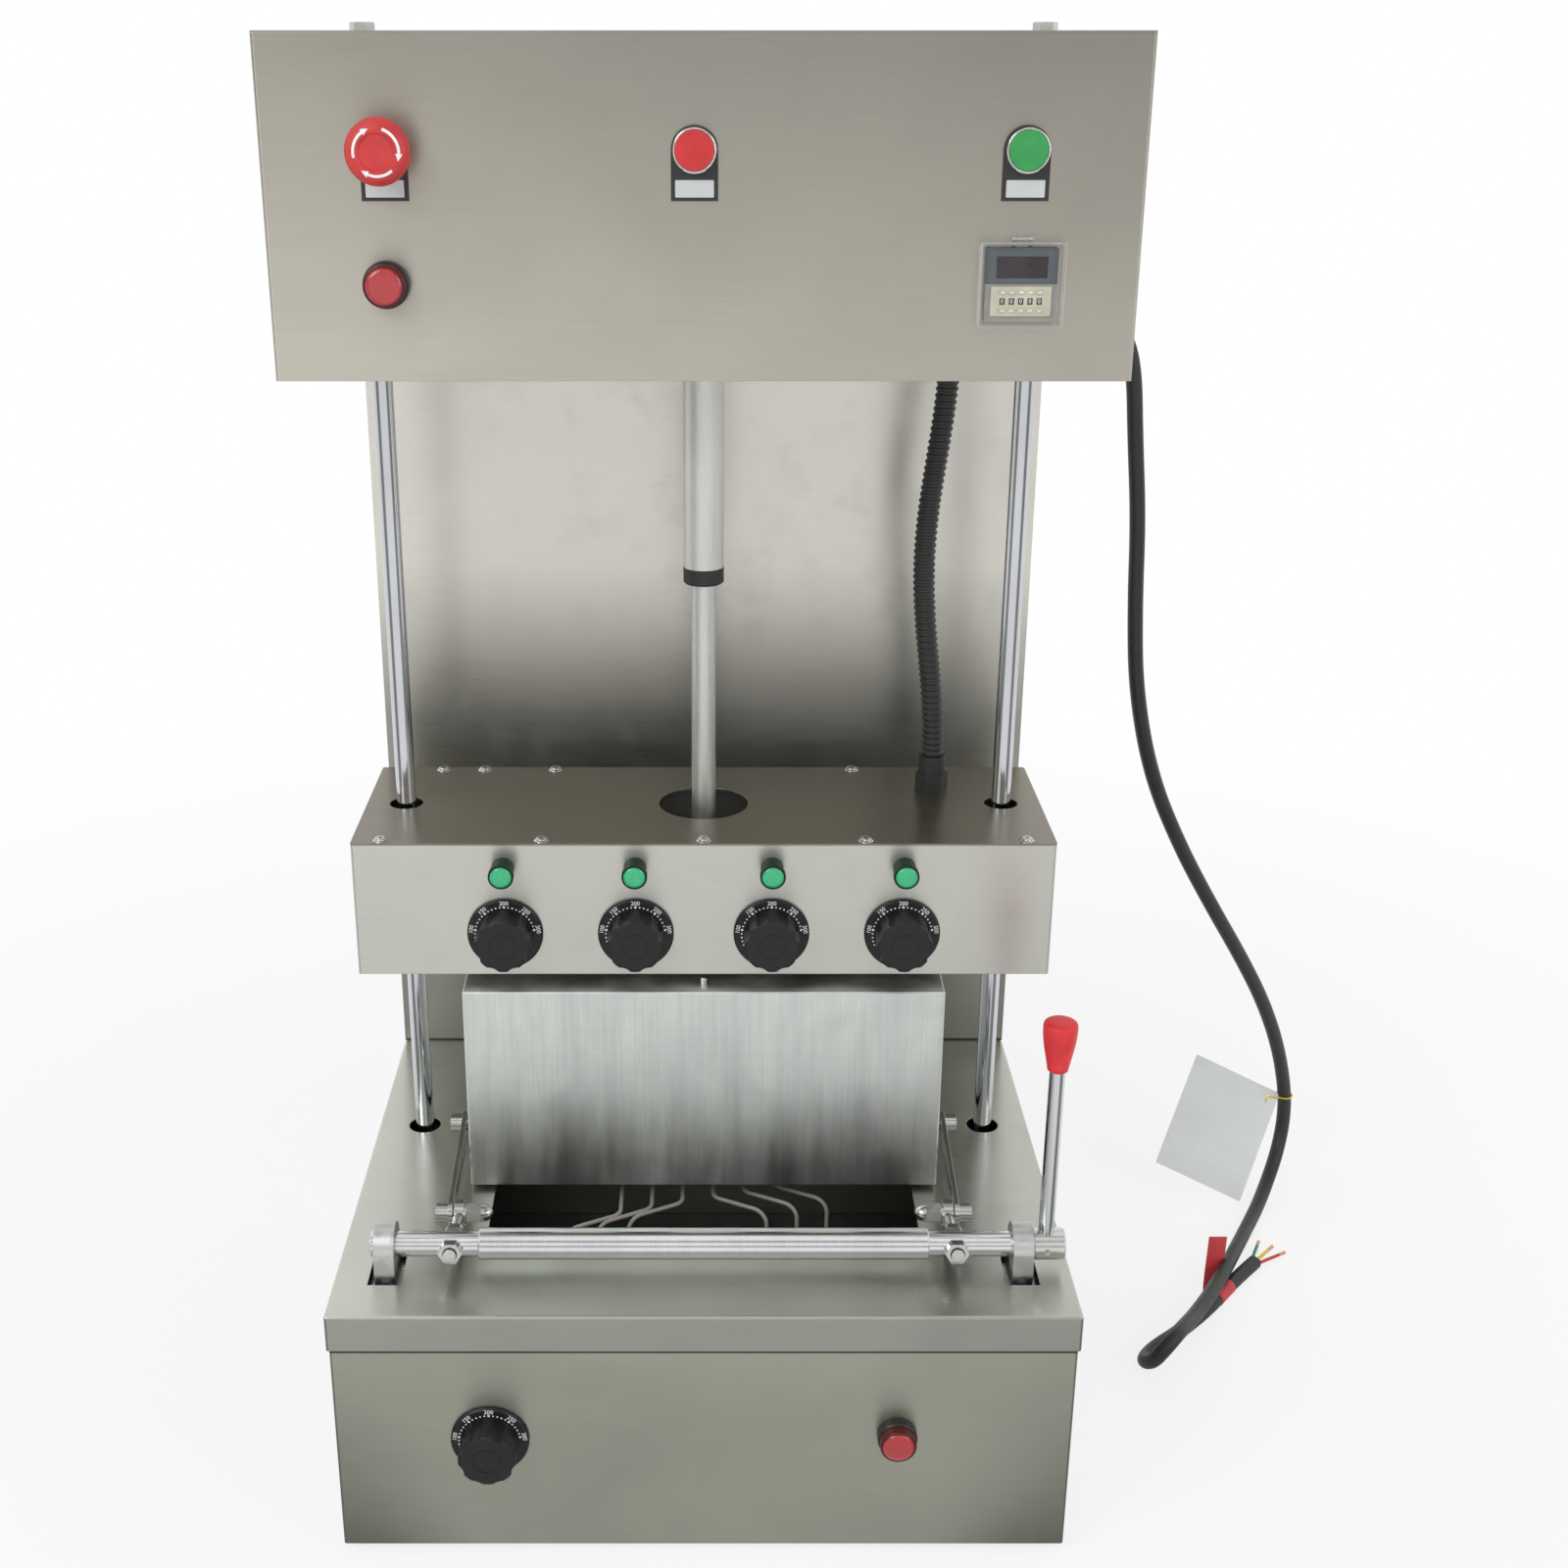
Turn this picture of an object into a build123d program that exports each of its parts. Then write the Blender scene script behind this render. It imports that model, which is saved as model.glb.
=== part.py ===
from build123d import *
import os
from math import atan2, cos, degrees, hypot, pi, radians, sin, tan

# Pizza cone forming press: a box base carries a split mould with four conical cavities,
# a column and a head. An electric cylinder in the head drives a carriage with four heated
# cones down two guide rods into the mould. A hand lever turns a crank shaft, whose two
# links draw the front half of the mould forward so that the cones of dough come out.
# Millimetres, +Z up, front towards -Y, origin on the bench under the middle of the press,
# halfway between the front of its base dial and the screws of its rear cover.

# Sheet metal
sheet = 1.5
cover_lip = 31.0
cover_bend = 2.5
lid_play = 0.4
flange = 12.0

# Split mould and its cones
cavity_count = 4
cavity_radius = 40.0
cavity_tip_radius = 9.0
cavity_depth = 160.0
cavity_wall = 16.0
cavity_pitch = 2 * cavity_radius + cavity_wall
mould_side_wall = 12.5
mould_front_wall = 68.0
mould_rear_wall = 66.0
mould_floor = 21.5
mould_width = (cavity_count - 1) * cavity_pitch + 2 * (cavity_radius + mould_side_wall)
mould_front_depth = cavity_radius + mould_front_wall
mould_rear_depth = cavity_radius + mould_rear_wall
mould_height = cavity_depth + mould_floor
dough_gap = 3.0
parting_gap = 0.2
mould_edge = 1.2

# Across: the rods stand beside the mould, and the sheets stand round the rods
rod_radius = 8.0
rod_hole_radius = 14.0
mould_to_rod = 53.0
rod_to_side = 40.5
rod_spread = mould_width / 2 + mould_to_rod
base_width = 2 * (rod_spread + rod_to_side)
head_overhang = 2.0
head_width = base_width + 2 * head_overhang
carriage_inset = 7.5
carriage_width = base_width - 2 * carriage_inset

# From front to back: crank, pivots of the mould, the row of rods and cones, column
crank_y = 65.5
crank_to_pivot = 166.5
pivot_y = crank_y + crank_to_pivot
pivot_inset = 52.0
mould_front_y = pivot_y - pivot_inset
guide_row = mould_front_y + mould_front_depth
mould_to_column = 56.0
column_depth = 30.0
base_depth = guide_row + mould_rear_depth + mould_to_column + column_depth
head_reach = 190.0
head_front = guide_row - head_reach
carriage_reach = 91.0
carriage_front = guide_row - carriage_reach
carriage_depth = 179.0
front_to_origin = 228.0

# Upwards: base, mould, carriage with its knobs and lamps, head
foot_height = 10.0
foot_radius = 15.0
foot_inset = 40.0
base_height = 217.0
mould_lift = 4.0
mould_bottom = base_height + mould_lift
skirt_radius = 30.7
green_radius = 9.2
knob_edge = 6.3
knob_to_lamp = 17.1
lamp_edge = 11.8
carriage_gap = 8.5
carriage_bottom = mould_bottom + mould_height + carriage_gap
knob_z = carriage_bottom + knob_edge + skirt_radius
green_lamp_z = knob_z + skirt_radius + knob_to_lamp + green_radius
carriage_height = green_lamp_z + green_radius + lamp_edge - carriage_bottom
carriage_stroke = 200.0
head_clear = 181.0
head_bottom = carriage_bottom + carriage_height + carriage_stroke + head_clear
motor_clear = 9.0
motor_cap = 6.0
motor_length = 90.0
gear_height = 40.0
eye_rise = 30.5
upper_pin_drop = 46.0
head_height = motor_clear + motor_cap + motor_length + gear_height + eye_rise + upper_pin_drop + sheet
beam_height = 44.0
beam_thickness = 12.0
beam_depth = 92.0

# Crank shaft and lever
crank_rise = 22.5
crank_z = base_height + crank_rise
pivot_rise = 31.0
pivot_z = mould_bottom + pivot_rise
shaft_radius = 10.0
shaft_middle_radius = 12.5
shaft_step_inset = 20.0
shaft_middle_half = mould_width / 2 - shaft_step_inset
eye_reach = 52.8
eye_dip = 6.0
eye_gap = 1.5
eye_x = mould_width / 2 + eye_gap
bracket_inset = 40.0
bracket_x = base_width / 2 - bracket_inset
lever_offset = 19.0
lever_x = bracket_x + lever_offset
lever_radius = 6.0
lever_length = 199.5
lever_top = crank_z + lever_length

# Clearances
cut = 1.0
fit = 0.05
running = 0.08
seat = 0.2
open_gap = 0.3


def up(height):
    """Z of a height above the base's underside."""
    return foot_height + height


def back(distance):
    """Y of a distance behind the base's front."""
    return distance - front_to_origin


def block(x_limits, y_limits, z_limits):
    """A block between three pairs of limits."""
    pairs = (x_limits, y_limits, z_limits)
    size = [high - low for low, high in pairs]
    middle = [(high + low) / 2 for low, high in pairs]
    return Pos(*middle) * Box(*size)


def post(radius, x, y, low, high):
    """An upright cylinder."""
    return Pos(x, y, (low + high) / 2) * Cylinder(radius, high - low)


def axle(radius, left, right, y, z):
    """A cylinder along X."""
    return Pos((left + right) / 2, y, z) * Rot(0, 90, 0) * Cylinder(radius, right - left)


def on_panel(x, face, z):
    """Local +Z points out of a front panel, local +Y points up."""
    return Pos(x, face, z) * Rot(90, 0, 0)


def turned(points):
    """A solid of revolution about local Z, from radius and height pairs."""
    outline = Polyline(*[(radius, 0, height) for radius, height in points], close=True)
    return revolve(make_face(outline), Axis.Z)


def disc(radius, low, high):
    """A cylinder on the local axis between two heights."""
    return Pos(0, 0, (low + high) / 2) * Cylinder(radius, high - low)


def hexagon(across_flats, low, high):
    """A hexagonal prism on the local axis."""
    return extrude(Pos(0, 0, low) * RegularPolygon(across_flats / 2, 6, major_radius=False), high - low)


def group(solids):
    """Separate solids that share one node."""
    return Compound(children=solids)


def sheet_ring(width, front, rear, low, high, bend):
    """Four upright sheet walls with bent corners."""
    middle = (front + rear) / 2
    depth = rear - front
    outer = extrude(Pos(0, middle, low) * RectangleRounded(width, depth, bend), high - low)
    hollow = RectangleRounded(width - 2 * sheet, depth - 2 * sheet, bend - sheet)
    return outer - extrude(Pos(0, middle, low - cut) * hollow, high - low + 2 * cut)


# Where the panel devices stand
inner_knob_x = 55.0
outer_knob_inset = 121.5
outer_knob_x = carriage_width / 2 - outer_knob_inset
base_knob_inset = 123.0
base_knob_x = -(base_width / 2 - base_knob_inset)
base_knob_z = 103.0
base_lamp_inset = 139.0
base_lamp_x = base_width / 2 - base_lamp_inset
base_lamp_z = 107.5
button_rise = 150.0
button_z = head_bottom + button_rise
estop_inset = 82.0
estop_x = -(head_width / 2 - estop_inset)
rise_x = -6.0
device_inset = 80.0
down_x = head_width / 2 - device_inset
timer_x = down_x
head_lamp_x = -(head_width / 2 - device_inset)
device_rise = 64.5
device_z = head_bottom + device_rise


def knob_places():
    """X of the four knobs and of the lamps above them."""
    return (-outer_knob_x, -inner_knob_x, inner_knob_x, outer_knob_x)


# Knob and thermostat
skirt_thickness = 3.2
skirt_rim = 1.6
knob_gap = 0.6
knob_height = 28.0
grip_radius = 22.5
grip_round = 3.0
flute_count = 8
flute_radius = 9.0
flute_depth = 2.2
spindle_radius = 3.0
spindle_hole = 5.0
spindle_reach = 14.0
thermostat_size = 36.0
thermostat_depth = 28.0
thermostat_corner = 4.0

# Lamps and push buttons
green_length = 20.0
green_neck_radius = 7.4
green_neck_length = 24.0
lamp_holder_radius = 15.5
lamp_holder_height = 9.0
lens_radius = 14.2
lens_height = 8.0
lens_plug = 4.0
device_neck_radius = 10.8
device_neck_length = 30.0
neck_play = 0.2
legend_width = 31.0
legend_drop = 32.0
legend_thickness = 1.6
legend_window_width = 26.0
legend_window_height = 11.4
legend_window_margin = 2.0
legend_window_depth = 0.5
bezel_radius = 14.6
bezel_wall = 1.3
bezel_height = 6.0
button_radius = 13.0
button_thickness = 2.5
button_proud = 0.8
button_travel = 3.5
stem_radius = 9.0
stem_length = 24.0
estop_collar_radius = 15.0
estop_stem_radius = 9.5
estop_stem_top = 22.0
estop_stem_length = 22.0
estop_travel = 5.0
mushroom_radius = 21.4
mushroom_neck_radius = 13.5
mushroom_clear = 0.9
mushroom_shoulder = 19.0
mushroom_top = 31.0
mushroom_face_radius = 12.0
mushroom_face_sink = 1.0

# Timer
timer_bezel = 48.0
timer_bezel_height = 6.0
timer_body_size = 44.5
timer_body_length = 70.0
timer_window_width = 34.0
timer_window_height = 14.0
timer_window_rise = 11.5
timer_window_depth = 0.6
switch_width = 40.5
switch_height = 19.3
switch_drop = 10.5
switch_thickness = 1.6
digit_count = 5
digit_pitch = 6.2
digit_width = 3.6
digit_height = 4.2
digit_depth = 0.8
key_height = 2.4
key_offset = 6.0
key_proud = 0.7
timer_cover_width = 57.0
timer_cover_height = 55.0
timer_cover_depth = 12.0
timer_cover_wall = 1.4
timer_cover_corner = 2.0
knuckle_radius = 1.6
knuckle_length = 8.0
knuckle_offset = 1.7
knuckle_z = 2.0
timer_ear = 3.0
timer_pin_radius = 0.8


def cover_back():
    """Outer front of the shell under the cover's lip."""
    return sheet + lid_play


# Base

def base_shell():
    inset = cover_back()
    width = base_width - 2 * inset
    front = back(inset)
    rear = back(base_depth - inset)
    walls = sheet_ring(width, front, rear, up(0), up(base_height - sheet), cover_bend)
    overlap = sheet - seat
    rim = block(
        (-width / 2 + overlap, width / 2 - overlap), (front + overlap, rear - overlap), (up(0), up(sheet))
    )
    rim = fillet(rim.edges().filter_by(Axis.Z), cover_bend - sheet)
    inner = flange + sheet
    window = block(
        (-width / 2 + inner, width / 2 - inner), (front + inner, rear - inner), (up(-cut), up(sheet + cut))
    )
    shell = walls + (rim - window)
    spindle = on_panel(base_knob_x, front, base_knob_z + foot_height) * disc(spindle_hole, -2 * sheet, sheet)
    lamp = on_panel(base_lamp_x, front, base_lamp_z + foot_height) * disc(
        device_neck_radius + neck_play, -2 * sheet, sheet
    )
    return shell - spindle - lamp


slot_width = 26.0
slot_ahead = 23.5
slot_behind = 26.5
opening_overlap = 20.5
opening_ahead = 29.5
opening_play = 6.0
cable_slot_half = 60.0
cable_slot_margin = 6.0


def base_cover():
    low = base_height - cover_lip
    outer = block((-base_width / 2, base_width / 2), (back(0), back(base_depth)), (up(low), up(base_height)))
    bends = outer.edges().filter_by(Axis.Z) + outer.faces().sort_by(Axis.Z)[-1].edges()
    outer = fillet(bends, cover_bend)
    hollow = block(
        (-base_width / 2 + sheet, base_width / 2 - sheet),
        (back(sheet), back(base_depth - sheet)),
        (up(low - cut), up(base_height - sheet)),
    )
    cover = outer - hollow
    through = (up(base_height - sheet - cut), up(base_height + cut))
    for side in (-1, 1):
        cover -= post(rod_hole_radius, side * rod_spread, back(guide_row), *through)
        cover -= block(
            (side * bracket_x - slot_width / 2, side * bracket_x + slot_width / 2),
            (back(crank_y - slot_ahead), back(crank_y + slot_behind)),
            through,
        )
    opening_half = mould_width / 2 - opening_overlap
    opening_rear = guide_row + mould_rear_depth + opening_play
    cover -= block(
        (-opening_half, opening_half), (back(crank_y + opening_ahead), back(opening_rear)), through
    )
    column_front = base_depth - column_depth
    cover -= block(
        (-cable_slot_half, cable_slot_half),
        (back(column_front + cable_slot_margin), back(base_depth - cable_slot_margin)),
        through,
    )
    return cover


floor_play = 1.0


def base_floor():
    inset = cover_back() + sheet + floor_play
    half = base_width / 2 - inset
    return block((-half, half), (back(inset), back(base_depth - inset)), (up(sheet), up(2 * sheet)))


foot_taper = 2.0
foot_recess_radius = 6.0
foot_recess_depth = 3.0


def rubber_feet():
    top = foot_height + sheet
    outline = [
        (foot_recess_radius, 0), (foot_radius - foot_taper, 0), (foot_radius, top), (0, top),
        (0, foot_recess_depth), (foot_recess_radius, foot_recess_depth),
    ]
    foot = turned(outline)
    x_places = (-base_width / 2 + foot_inset, base_width / 2 - foot_inset)
    y_places = (back(foot_inset), back(base_depth - foot_inset))
    return group([Pos(x, y, 0) * foot for x in x_places for y in y_places])


rail_width = 60.0
rail_web = 5.0
rail_drop = 40.0
rail_sink = 17.0
rail_top = base_height - rail_sink
rail_front = 30.0
rail_rear_gap = 40.0
rail_rear = base_depth - rail_rear_gap
leg_width = 40.0
cross_half = 30.0
pedestal_side_inset = 46.5
pedestal_x = mould_width / 2 - pedestal_side_inset
pedestal_half = 20.0
pedestal_inset = 6.0


def channel(width, length, drop):
    """A downward channel along local Y, its web's top at local Z 0."""
    half = width / 2
    outline = Polyline(
        (-half, 0), (half, 0), (half, -drop), (half - rail_web, -drop), (half - rail_web, -rail_web),
        (-half + rail_web, -rail_web), (-half + rail_web, -drop), (-half, -drop), close=True,
    )
    return extrude(Rot(90, 0, 0) * make_face(outline), length / 2, both=True)


def inner_frame():
    middle = (rail_front + rail_rear) / 2
    rail = channel(rail_width, rail_rear - rail_front, rail_drop)
    rear_half = guide_row + mould_rear_depth / 2
    inner_edge = rod_spread - rail_width / 2
    cross = Rot(0, 0, 90) * channel(2 * cross_half, 2 * inner_edge + rail_web, rail_drop)
    frame = Pos(0, back(rear_half), up(rail_top)) * cross
    for side in (-1, 1):
        frame += Pos(side * rod_spread, back(middle), up(rail_top)) * rail
        outer_edge = side * (rod_spread + rail_width / 2)
        inner_face = side * (rod_spread + rail_width / 2 - rail_web)
        for end in (rail_front, rail_rear - leg_width):
            depth_limits = (back(end), back(end + leg_width))
            leg = block(sorted((outer_edge, inner_face)), depth_limits, (up(2 * sheet), up(rail_top)))
            pad_edge = side * (rod_spread + rail_width / 2 - leg_width)
            pad = block(
                sorted((outer_edge, pad_edge)), depth_limits, (up(2 * sheet), up(2 * sheet + rail_web))
            )
            frame += leg + pad
        frame += block(
            (side * pedestal_x - pedestal_half, side * pedestal_x + pedestal_half),
            (back(rear_half - cross_half + pedestal_inset), back(rear_half + cross_half - pedestal_inset)),
            (up(rail_top - cut), up(mould_bottom)),
        )
    bolt_hole = bolt_radius + fit
    through = (up(rail_top - rail_web - cut), up(rail_top + cut))
    for side in (-1, 1):
        frame -= post(bolt_hole, side * rod_spread, back(guide_row), *through)
        for y in bracket_screw_places():
            frame -= post(cap_screw_radius + fit, side * bracket_x, y, *through)
    return frame


# Column and head

column_lip = 15.0


def back_panel():
    half = base_width / 2
    front = back(base_depth - column_depth)
    rear = back(base_depth - sheet)
    low = up(base_height)
    high = up(head_bottom)
    outer = block((-half, half), (front, rear), (low, high))
    through = (low - cut, high + cut)
    hollow = block((-half + sheet, half - sheet), (front + sheet, rear - sheet), through)
    window = block((-half + column_lip, half - column_lip), (front + sheet, rear + cut), through)
    return drill_rear(outer - hollow - window)


def rear_cover():
    half = base_width / 2
    z_limits = (up(base_height), up(head_bottom + head_height))
    return drill_rear(block((-half, half), (back(base_depth - sheet), back(base_depth)), z_limits))


head_lip = 15.0


def head_shell():
    half = head_width / 2
    top = up(head_bottom + head_height)
    low = up(head_bottom)
    rear = back(base_depth - sheet)
    outer = block((-half, half), (back(head_front), rear), (low, top))
    front_face = outer.faces().sort_by(Axis.Y)[0]
    outer = fillet(front_face.edges().filter_by(Axis.Z) + front_face.edges().sort_by(Axis.Z)[-1], cover_bend)
    hollow = block(
        (-half + sheet, half - sheet), (back(head_front + sheet), rear - sheet), (low - cut, top - sheet)
    )
    window = block(
        (-half + head_lip, half - head_lip), (rear - 2 * sheet, rear + cut), (low - cut, top - head_lip)
    )
    shell = outer - hollow - window
    neck_hole = disc(device_neck_radius + neck_play, -2 * sheet, sheet)
    for x in (estop_x, rise_x, down_x):
        shell -= on_panel(x, back(head_front), up(button_z)) * neck_hole
    shell -= on_panel(head_lamp_x, back(head_front), up(device_z)) * neck_hole
    cutout = timer_body_size + 2 * neck_play
    shell -= on_panel(timer_x, back(head_front), up(device_z)) * Box(cutout, cutout, 4 * sheet)
    for side in (-1, 1):
        shell -= post(bolt_radius + fit, side * rod_spread, back(guide_row), top - sheet - cut, top + cut)
    cord_hole = axle(cord_gland_neck + fit, half - 2 * sheet, half + cut, back(cord_exit_y), up(cord_exit_z))
    return drill_rear(shell - cord_hole)


floor_flange = 15.0
tube_hole_play = 1.0
conduit_inset = 97.0
conduit_x = head_width / 2 - conduit_inset
conduit_behind = 38.0
conduit_row = guide_row + conduit_behind
conduit_neck_radius = 9.0


def head_floor():
    half = head_width / 2 - sheet - seat
    front = back(head_front + sheet + seat)
    rear = back(base_depth - 2 * sheet - seat)
    low = up(head_bottom)
    tray = block((-half, half), (front, rear), (low, low + floor_flange))
    hollow = block(
        (-half + sheet, half - sheet), (front + sheet, rear - sheet), (low + sheet, low + floor_flange + cut)
    )
    tray -= hollow
    through = (low - cut, low + sheet + cut)
    for side in (-1, 1):
        tray -= post(rod_hole_radius, side * rod_spread, back(guide_row), *through)
    tray -= post(tube_radius + tube_hole_play, 0, back(guide_row), *through)
    tray -= post(conduit_neck_radius + fit, conduit_x, back(conduit_row), *through)
    column_front = base_depth - column_depth
    tray -= block(
        (-cable_slot_half, cable_slot_half),
        (back(column_front + cable_slot_margin), back(base_depth - column_depth / 2)),
        through,
    )
    return tray


beam_web = 5.0
beam_drop = 40.0
beam_width = 80.0
lug_inner = 9.0
lug_thickness = 6.0
lug_width = 36.0
pin_radius = 5.0
bolt_radius = 5.0


def lug_pair(pin_z, root_z):
    """Two lugs on either side of the middle, from a root to a rounded end about a pin."""
    radius = lug_width / 2
    lugs = None
    for side in (-1, 1):
        limits = sorted((side * lug_inner, side * (lug_inner + lug_thickness)))
        shank = block(limits, (back(guide_row) - radius, back(guide_row) + radius), sorted((pin_z, root_z)))
        lug = shank + axle(radius, *limits, back(guide_row), pin_z)
        lug -= axle(pin_radius + fit, limits[0] - cut, limits[1] + cut, back(guide_row), pin_z)
        lugs = lug if lugs is None else lugs + lug
    return lugs


def head_beam():
    top = up(head_bottom + head_height - sheet)
    length = head_width - 2 * sheet - 2 * seat
    beam = Pos(0, back(guide_row), top) * Rot(0, 0, 90) * channel(beam_width, length, beam_drop)
    pin_z = top - upper_pin_drop
    beam += lug_pair(pin_z, top - beam_web / 2)
    for side in (-1, 1):
        beam -= post(bolt_radius + fit, side * rod_spread, back(guide_row), top - beam_web - cut, top + cut)
    return beam


bolt_reach = 25.0


def guide_rods():
    low = up(rail_top)
    high = up(head_bottom + head_height - sheet - beam_web)
    rods = []
    for side in (-1, 1):
        x = side * rod_spread
        rod = post(rod_radius, x, back(guide_row), low, high)
        rod -= post(bolt_radius + fit, x, back(guide_row), low - cut, low + bolt_reach + cut)
        rod -= post(bolt_radius + fit, x, back(guide_row), high - bolt_reach - cut, high + cut)
        rods.append(rod)
    return group(rods)


# Electric cylinder

tube_radius = 16.0
tube_bore = 12.8
wiper_height = 13.0
wiper_proud = 0.3
cylinder_rod_radius = 10.0
rod_engaged = 74.0
rod_end_room = 21.5
gear_width = 62.0
gear_front = 30.0
gear_rear = 66.0
gear_corner = 12.0
motor_radius = 21.0
motor_offset = 40.0
eye_half = 8.5
eye_radius = 15.0
gear_bottom = head_bottom + motor_clear + motor_cap + motor_length
wiper_bottom = gear_bottom - rod_end_room - carriage_stroke - rod_engaged


def actuator_housing():
    row = back(guide_row)
    low = up(gear_bottom)
    high = low + gear_height
    case = block((-gear_width / 2, gear_width / 2), (row - gear_front, row + gear_rear), (low, high))
    case = fillet(case.edges().filter_by(Axis.Z), gear_corner)
    motor_low = low - motor_length
    motor = post(motor_radius, 0, row + motor_offset, motor_low, low)
    motor += post(motor_radius - motor_cap, 0, row + motor_offset, motor_low - motor_cap, motor_low)
    pin_z = up(head_bottom + head_height - sheet) - upper_pin_drop
    eye = block((-eye_half, eye_half), (row - eye_radius, row + eye_radius), (high - cut, pin_z))
    eye += axle(eye_radius, -eye_half, eye_half, row, pin_z)
    eye -= axle(pin_radius + fit, -eye_half - cut, eye_half + cut, row, pin_z)
    return case + motor + eye


def actuator_tube():
    low = up(wiper_bottom + wiper_height)
    high = up(gear_bottom)
    tube = post(tube_radius, 0, back(guide_row), low, high)
    return tube - post(tube_bore, 0, back(guide_row), low - cut, high + cut)


def wiper_ring():
    low = up(wiper_bottom)
    high = up(wiper_bottom + wiper_height)
    outer = tube_radius + wiper_proud
    ring = post(outer, 0, back(guide_row), low, high)
    ring = chamfer(ring.edges().sort_by(Axis.Z)[0], wiper_proud + cut)
    return ring - post(cylinder_rod_radius + running, 0, back(guide_row), low - cut, high + cut)


lower_pin_rise = 22.0


def beam_top():
    return carriage_bottom + beam_height + beam_thickness


def actuator_rod():
    row = back(guide_row)
    pin_z = up(beam_top() + lower_pin_rise)
    shoulder = pin_z + lug_width / 2 + cut
    rod = post(cylinder_rod_radius, 0, row, shoulder, up(wiper_bottom + rod_engaged))
    tongue = block((-eye_half, eye_half), (row - eye_radius, row + eye_radius), (pin_z, shoulder + cut))
    tongue += axle(eye_radius, -eye_half, eye_half, row, pin_z)
    tongue -= axle(pin_radius + fit, -eye_half - cut, eye_half + cut, row, pin_z)
    return rod + tongue


# Fasteners

bolt_head_flats = 16.0
bolt_head_height = 6.4
bolt_head_chamfer = 1.0
pan_radius = 4.75
pan_height = 2.8
pan_round = 1.4
screw_radius = 2.2
screw_length = 8.0
screw_hole = 2.3
rear_screw_rows = 5
rear_screw_inset = 8.0
rear_screw_margin = 40.0
cap_screw_radius = 3.0
cap_head_radius = 5.0
cap_head_height = 6.0
cap_socket_radius = 2.5
clevis_pin_head = 8.0
clevis_pin_head_height = 3.0


def hex_bolt(reach):
    """A hexagon bolt on local Z, its head above local Z 0."""
    head = hexagon(bolt_head_flats, 0, bolt_head_height)
    flat = bolt_head_flats / 2
    corner = flat + 2 * bolt_head_chamfer
    crown = turned([
        (0, 0), (corner, 0), (corner, bolt_head_height - bolt_head_chamfer), (flat, bolt_head_height),
        (0, bolt_head_height),
    ])
    return (head & crown) + disc(bolt_radius, -reach, cut)


def pan_screw():
    """A pan head screw on local Z, its head above local Z 0."""
    head = disc(pan_radius, 0, pan_height)
    head = fillet(head.edges().sort_by(Axis.Z)[-1], pan_round)
    return head + disc(screw_radius, -screw_length, cut)


def clevis_pin(z):
    """The pin through a pair of lugs."""
    reach = lug_inner + lug_thickness + cut
    pin = axle(pin_radius, -reach - clevis_pin_head_height, reach, back(guide_row), z)
    return pin + axle(clevis_pin_head, -reach - clevis_pin_head_height, -reach, back(guide_row), z)


def bracket_screw():
    """A cap screw on local Z, its head above local Z 0."""
    head = disc(cap_head_radius, 0, cap_head_height)
    head -= disc(cap_socket_radius, cap_head_height / 2, cap_head_height + cut)
    return head + disc(cap_screw_radius, -foot_plate - rail_web, cut)


def drill_rear(sheets):
    """Holes for the rear cover's screws, through every sheet that they pass."""
    for x, z in rear_screw_places():
        sheets -= Pos(x, back(base_depth), z) * Rot(90, 0, 0) * disc(screw_hole, -cut, screw_length + cut)
    return sheets


def rear_screw_places():
    low = base_height + rear_screw_margin
    high = head_bottom + head_height - rear_screw_margin
    step = (high - low) / (rear_screw_rows - 1)
    x = base_width / 2 - rear_screw_inset
    return [(side * x, up(low + row * step)) for side in (-1, 1) for row in range(rear_screw_rows)]


def frame_fasteners():
    solids = []
    top = up(head_bottom + head_height)
    under = up(rail_top - rail_web)
    for side in (-1, 1):
        place = (side * rod_spread, back(guide_row))
        solids.append(Pos(*place, top) * hex_bolt(sheet + beam_web + bolt_reach))
        solids.append(Pos(*place, under) * Rot(180, 0, 0) * hex_bolt(rail_web + bolt_reach))
        for y in bracket_screw_places():
            solids.append(Pos(side * bracket_x, y, up(rail_top + foot_plate)) * bracket_screw())
    for x, z in rear_screw_places():
        solids.append(Pos(x, back(base_depth), z) * Rot(-90, 0, 0) * pan_screw())
    solids.append(clevis_pin(top - sheet - upper_pin_drop))
    return group(solids)


# Crank brackets, shaft, lever and links

bracket_width = 35.0
bracket_thickness = 16.0
bracket_reach = 31.5
bracket_screw_inset = 7.0
foot_plate = 8.0
foot_plate_width = 28.0
stub_proud = 4.0
hub_play = 0.5
hub_length = 25.0
hub_radius = 12.5
hub_edge = 1.0
set_screw_radius = 2.5
set_screw_depth = 1.5
shaft_edge = 0.6


def bracket_screw_places():
    reach = bracket_reach - bracket_screw_inset
    return [back(crank_y - reach), back(crank_y + reach)]


def crank_brackets():
    solids = []
    y = back(crank_y)
    z = up(crank_z)
    radius = bracket_width / 2
    for side in (-1, 1):
        limits = (side * bracket_x - bracket_thickness / 2, side * bracket_x + bracket_thickness / 2)
        cheek = block(limits, (y - radius, y + radius), (up(rail_top), z)) + axle(radius, *limits, y, z)
        cheek -= axle(shaft_radius + running, limits[0] - cut, limits[1] + cut, y, z)
        low = up(rail_top)
        high = low + foot_plate
        plate = block(
            (side * bracket_x - foot_plate_width / 2, side * bracket_x + foot_plate_width / 2),
            (y - bracket_reach, y + bracket_reach),
            (low, high),
        )
        for place in bracket_screw_places():
            plate -= post(cap_screw_radius + fit, side * bracket_x, place, low - cut, high + cut)
        solids.append(cheek + plate)
    return group(solids)


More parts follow.
